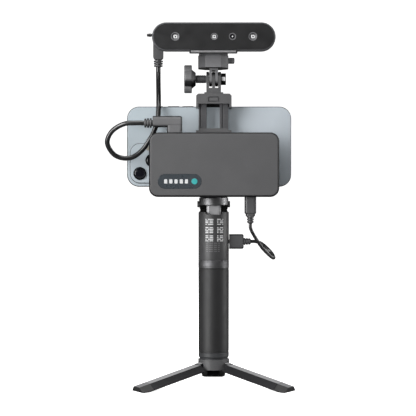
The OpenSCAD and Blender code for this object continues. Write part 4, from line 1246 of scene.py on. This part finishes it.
def release(bm):
    """Push button in the base's side with a raised round end."""
    low, high = mm_box("release_button")
    mid = middle("release_button")
    solid(bm, rect(4.96, 4.96, 1.2, (mid.y, mid.z)), "x", low.x, high.x, (0.1, 0.8), 4)
    solid(bm, ring(1.6, (mid.y, mid.z), 32), "x", high.x - 0.3, high.x + 0.12, (0.01, 0.25), 2)


redrawn("quick_release_plate", plate, PLATE, "scanner_head", "plate_metal")
piece("quick_release_plate_ends", plate_ends, DARK, "scanner_head", "plate_metal")
redrawn("release_button", release, RELEASE, "release_button", "black_plastic")

# ---- scanner head

BAR_LOW, BAR_HIGH = mm_box("scanner_front_frame")
BAR_Z, BAR_R = (BAR_LOW.z + BAR_HIGH.z) / 2, (BAR_HIGH.z - BAR_LOW.z) / 2
BAR_HALF = (BAR_HIGH.x - BAR_LOW.x) / 2 - BAR_R
BAR_SPLIT, BAR_BACK = BAR_HIGH.y, mm_box("scanner_rear_shell")[1].y
OPTICS = [(-32.9, 3.6), (0.3, 2.9), (15.9, 3.0), (33.3, 3.6)]
COLOUR_CAMERA = 2
OPTIC_Z = BAR_Z + 0.2
FACE = BAR_LOW.y + 0.15
BACK_SCREWS = [(x, BAR_Z + dz) for x in (-28, 20) for dz in (-3.2, 8.6)]


def bar_outline(inward, rise=0):
    """The scanner bar's outline, made smaller and moved up."""
    return pill(BAR_HALF, BAR_R - inward, (0, BAR_Z + rise))


def front_frame(bm):
    """Front half of the housing: a round-ended rim that carries the dark window."""
    solid(bm, bar_outline(0), "y", BAR_LOW.y, BAR_SPLIT - 0.02, (0.9, 0.15), 5)


def front_cuts(bm):
    """The window's seat, the room behind it and the holes of the optics."""
    solid(bm, bar_outline(1.3), "y", BAR_LOW.y - 1, BAR_LOW.y + 1.6, KNIFE, 1)
    solid(bm, bar_outline(2), "y", BAR_LOW.y + 2.6, BAR_SPLIT + 1, KNIFE, 1)
    for x, r in OPTICS:
        rod(bm, r + 1.35, -4, 4, "y", (x, BAR_LOW.y, OPTIC_Z), 40)


def rear_shell(bm):
    """Rear half: the outline narrows toward the back and its underside rises, while the top stays level."""
    length, narrowing, edge = BAR_BACK - BAR_SPLIT, (BAR_R - 9.5) * 0.95, 2
    stations = [(0.0, 0.12), (0.12, 0.0)]
    stations += [(length * t, narrowing * t) for t in (0.1, 0.25, 0.4, 0.55, 0.7, 0.82, 0.92)]
    for angle in (0, 22, 45, 67, 90):
        a = math.radians(angle)
        stations.append((length - edge + edge * math.sin(a), narrowing + edge * (1 - math.cos(a))))
    rings = []
    for depth, inward in stations:
        rise = 2.6 * min(1, depth / (length - edge))
        rings.append([Vector((p.x, BAR_SPLIT + depth, p.y)) for p in bar_outline(inward, rise)])
    loft(bm, rings)


def rear_cuts(bm):
    """The hollow inside, the scan button's hole, the plug's socket, five vents and the screws' seats."""
    solid(bm, bar_outline(5.6, 1.6), "y", BAR_SPLIT - 1, BAR_BACK - 2.2, KNIFE, 1)
    rod(bm, 4.15, -2.2, 2, "y_back", (10, BAR_BACK, BAR_Z))
    block(bm, (-47.2, BAR_BACK - 2.8, BAR_Z - 3.2), (-43.2, BAR_BACK + 1, BAR_Z + 3.2), 0.5, 0.01, "y", 1)
    for k in range(5):
        x = 26 + 4 * k
        block(bm, (x, BAR_BACK - 1.3, BAR_Z - 2.5), (x + 1.7, BAR_BACK + 1, BAR_Z + 7.5), 0.8, 0.01, "y", 1)
    for x, z in BACK_SCREWS:
        rod(bm, 1.7, -0.8, 1, "y_back", (x, BAR_BACK, z), 32)


def mount_boss(bm):
    """Seat for the plate's screw under the housing."""
    low, high = PLATE_LOW.z + 1.8, PLATE_LOW.z + 7.4
    points = [(3.15, low), (6.2, low), (6.2, high), (3.15, high)]
    turn(bm, points, "z", ORIGIN, 48, [0.1, 0.3, 0.1, 0.1], 20)


def back_screws(bm):
    for x, z in BACK_SCREWS:
        screw_head(bm, (x, BAR_BACK - 0.3, z), 1.45, 0.4)


def window(bm):
    """Dark face plate, flush in the rim."""
    solid(bm, bar_outline(1.36), "y", FACE, FACE + 1.4, (0.25, 0.05), 3)


def window_cuts(bm):
    for x, r in OPTICS:
        rod(bm, r + 0.06, -4, 4, "y", (x, FACE, OPTIC_Z))


def barrels(optics):
    """Returns the drawing of lens barrels: a round shoulder, a conical well and the block behind."""
    def build(bm):
        for x, r in optics:
            points = [(0, -4.4), (r, -4.4), (r, 0.42), (r - 0.3, 0.42), (1.7, -0.35), (1.7, -0.9), (0, -0.9)]
            turn(bm, points, "y", (x, FACE + 0.5, OPTIC_Z), 48, [0.1, 0.15, 0.1, 0.05, 0.05])
            housing = rect(2 * r + 2, 2 * r + 2, 0.6, (x, OPTIC_Z))
            solid(bm, housing, "y", FACE + 4.4, FACE + 9.6, (0.3, 0.3), 2)
    return build


def bezels(bm):
    """Fine pale ring round each optic."""
    for x, r in OPTICS:
        inner, outer = r - 0.55, r - 0.02
        points = [(inner, -0.2), (outer, -0.2), (outer, 0.5), (inner, 0.44)]
        turn(bm, points, "y", (x, FACE + 0.44, OPTIC_Z), 56)


def square_dies(bm):
    """Square emitter dies round a small lens, in all optics but the colour camera; their faint glow is painted
    highlight.
    """
    for i, (x, _) in enumerate(OPTICS):
        if i != COLOUR_CAMERA:
            solid(bm, rect(2.9, 2.9, 0.5, (x, OPTIC_Z)), "y", FACE + 0.55, FACE + 1.2, (0.15, 0.15), 2)


def small_lenses(bm):
    for i, (x, _) in enumerate(OPTICS):
        size = 1.9 if i == COLOUR_CAMERA else 0.7
        points = [(0, -0.4), (size, -0.4), (size, 0.1), (size * 0.6, 0.22), (0, 0.26)]
        turn(bm, points, "y", (x, FACE + 0.5, OPTIC_Z), 40)


def lens_glint_dot(bm):
    """Painted highlight: a small glowing dot in the colour camera's middle."""
    points = [(0, -0.2), (0.62, -0.2), (0.62, 0.12), (0.4, 0.2), (0, 0.22)]
    turn(bm, points, "y", (OPTICS[COLOUR_CAMERA][0], FACE + 0.28, OPTIC_Z), 32)


def scan_key(bm):
    """Scan button on the housing's back, dished."""
    low, high = mm_box("scan_button")
    points = [(0, low.y), (4, low.y), (4, high.y), (3, high.y), (0, high.y - 0.35)]
    turn(bm, points, "y_back", (10, 0, BAR_Z), 56, [0.1, 0.4, 0.7])


def on_head(name, build, material, slot, *nodes):
    """A piece of the scanner head."""
    return piece(name, build, material, "scanner_head", slot, *nodes)


cut(on_head("scanner_front_shape", front_frame, RIM, "scanner_shell", "scanner_front_frame"), front_cuts)
cut(on_head("scanner_rear_shape", rear_shell, HOUSING, "scanner_shell", "scanner_rear_shell"), rear_cuts)
on_head("scanner_mount_boss", mount_boss, HOUSING, "scanner_shell")
on_head("scanner_back_screws", back_screws, STEEL, "steel")
cut(on_head("scanner_window_shape", window, WINDOW, "scanner_glass", "scanner_window"), window_cuts)
cameras = [optic for i, optic in enumerate(OPTICS) if i != 1]
on_head("scanner_camera_barrels", barrels(cameras), BARREL, "optics", "scanner_cameras")
on_head("scanner_projector_barrel", barrels([OPTICS[1]]), BARREL, "optics", "scanner_projector")
on_head("scanner_optic_bezels", bezels, BEZEL, "optics")
# Painted highlight: the emitter squares glow faintly.
on_head("scanner_emitters", square_dies, PAINTED_GLOW, "optics")
on_head("scanner_small_lenses", small_lenses, LENS, "optics")
# Painted highlight: the glowing dot in the colour camera's middle.
on_head("scanner_lens_glint", lens_glint_dot, PAINTED_GLOW, "optics")
redrawn("scan_button", scan_key, BLACK, "scan_button", "black_plastic")

# ---- what isn't redrawn keeps the CAD shape

CARRIED = {
    "leg_pins": STEEL, "battery_cell": CELL, "handle_circuit_board": BOARD, "clamp_spring": STEEL,
    "box_battery": CELL, "box_circuit_board": BOARD, "scanner_circuit_board": BOARD,
}
for node, finish in CARRIED.items():
    obj = frame["nodes"][node]
    if not obj.material_slots:
        obj.data.materials.append(finish)
    for slot in obj.material_slots:
        slot.material = finish

# ---- floor, light and camera (in metres)

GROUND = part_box("foot_back")[0].z
CAMERA_DISTANCE, EYE_HEIGHT, SHIFT_X = 1.2, 0.155, -0.00496
LENS_LENGTH, SENSOR_WIDTH = 119.4, 36
MIDDLE = Vector((0, 0, 0.14))
# Name, place, size, watts, and whether the light shows in reflections.
LIGHTS = (
    ("left_softbox", (-0.95, -0.85, 0.40), (0.76, 1.3), 30.5, True),
    ("right_strip", (1.0, 0.05, 0.30), (0.18, 1.2), 10, True),
    ("front_fill", (0.0, -1.8, 0.30), (0.7, 0.5), 9, False),
    ("back_softbox", (0.0, 2.1, 0.95), (2.6, 0.9), 3, True),
    ("rear_right_softbox", (0.95, 1.35, 0.95), (0.9, 1.1), 15, False),
    ("rear_left_softbox", (-1.1, 1.2, 0.75), (0.5, 1.0), 7, False),
    ("top_softbox", (0.0, -0.35, 1.3), (0.9, 0.9), 12, True),
)


def floor_material():
    """Pale matt floor. To the camera it also glows a little, so it reads as bright as a lit studio sweep."""
    n = Nodes("pale_floor")
    seen = n.add("ShaderNodeLightPath").outputs["Is Camera Ray"]
    pale = n.mix(n.spread(n.noise(3, 2), 0.3, 0.7), grey(0.78), grey(0.82))
    n.colour(n.mix(seen, grey(0.14), pale))
    n.set(Roughness=0.9, Specular_IOR_Level=0.1, Emission_Color=(1, 1, 1, 1))
    n.link(n.math("MULTIPLY", seen, 0.92), n.shader.inputs["Emission Strength"])
    return n.material


def sweep_floor():
    """A floor that curves up into a backdrop far behind the object."""
    half, front, back, top, bend, steps = 6.0, -4.0, 3.0, 5.0, 1.2, 16
    angles = [math.pi / 2 * k / steps for k in range(steps + 1)]
    curve = [(back - bend + bend * math.sin(a), bend - bend * math.cos(a)) for a in angles]
    bm = bmesh.new()
    line = [(front, 0.0), *curve, (back, top)]
    rows = [[bm.verts.new((x, y, GROUND + z)) for x in (-half, half)] for y, z in line]
    for a, b in zip(rows, rows[1:]):
        bm.faces.new((a[0], a[1], b[1], b[0]))
    mesh = mesh_from(bm, "floor")
    for polygon in mesh.polygons:
        polygon.use_smooth = True
    mesh.materials.append(floor_material())
    linked("floor", mesh)


def area_light(name, place, size, watts, mirrored):
    """Rectangular light that looks at the object's middle."""
    light = bpy.data.lights.new(name, "AREA")
    light.shape = "RECTANGLE"
    light.size, light.size_y = size
    light.energy = watts
    obj = linked(name, light)
    obj.location = place
    obj.rotation_euler = (MIDDLE - Vector(place)).to_track_quat("-Z", "Y").to_euler()
    obj.visible_glossy = mirrored


def studio_world(seen_strength, fill_strength):
    """Even white room: bright where the camera sees it, dim as fill light."""
    world = bpy.data.worlds.new("studio")
    world.use_nodes = True
    tree = world.node_tree
    background = tree.nodes["Background"]
    background.inputs["Color"].default_value = (1, 1, 1, 1)
    path = tree.nodes.new("ShaderNodeLightPath")
    strength = tree.nodes.new("ShaderNodeMapRange")
    strength.inputs["To Min"].default_value = fill_strength
    strength.inputs["To Max"].default_value = seen_strength
    tree.links.new(path.outputs["Is Camera Ray"], strength.inputs["Value"])
    tree.links.new(strength.outputs["Result"], background.inputs["Strength"])
    bpy.context.scene.world = world


sweep_floor()
studio_world(1.0, 0.05)
for light in LIGHTS:
    area_light(*light)
bpy.context.scene.view_settings.view_transform = "Standard"

camera = bpy.data.cameras.new("camera")
camera.lens = LENS_LENGTH
camera.sensor_width = SENSOR_WIDTH
camera_object = linked("camera", camera)
camera_object.location = (SHIFT_X, -CAMERA_DISTANCE, GROUND + EYE_HEIGHT)
camera_object.rotation_euler = (math.pi / 2, 0, 0)
bpy.context.scene.camera = camera_object
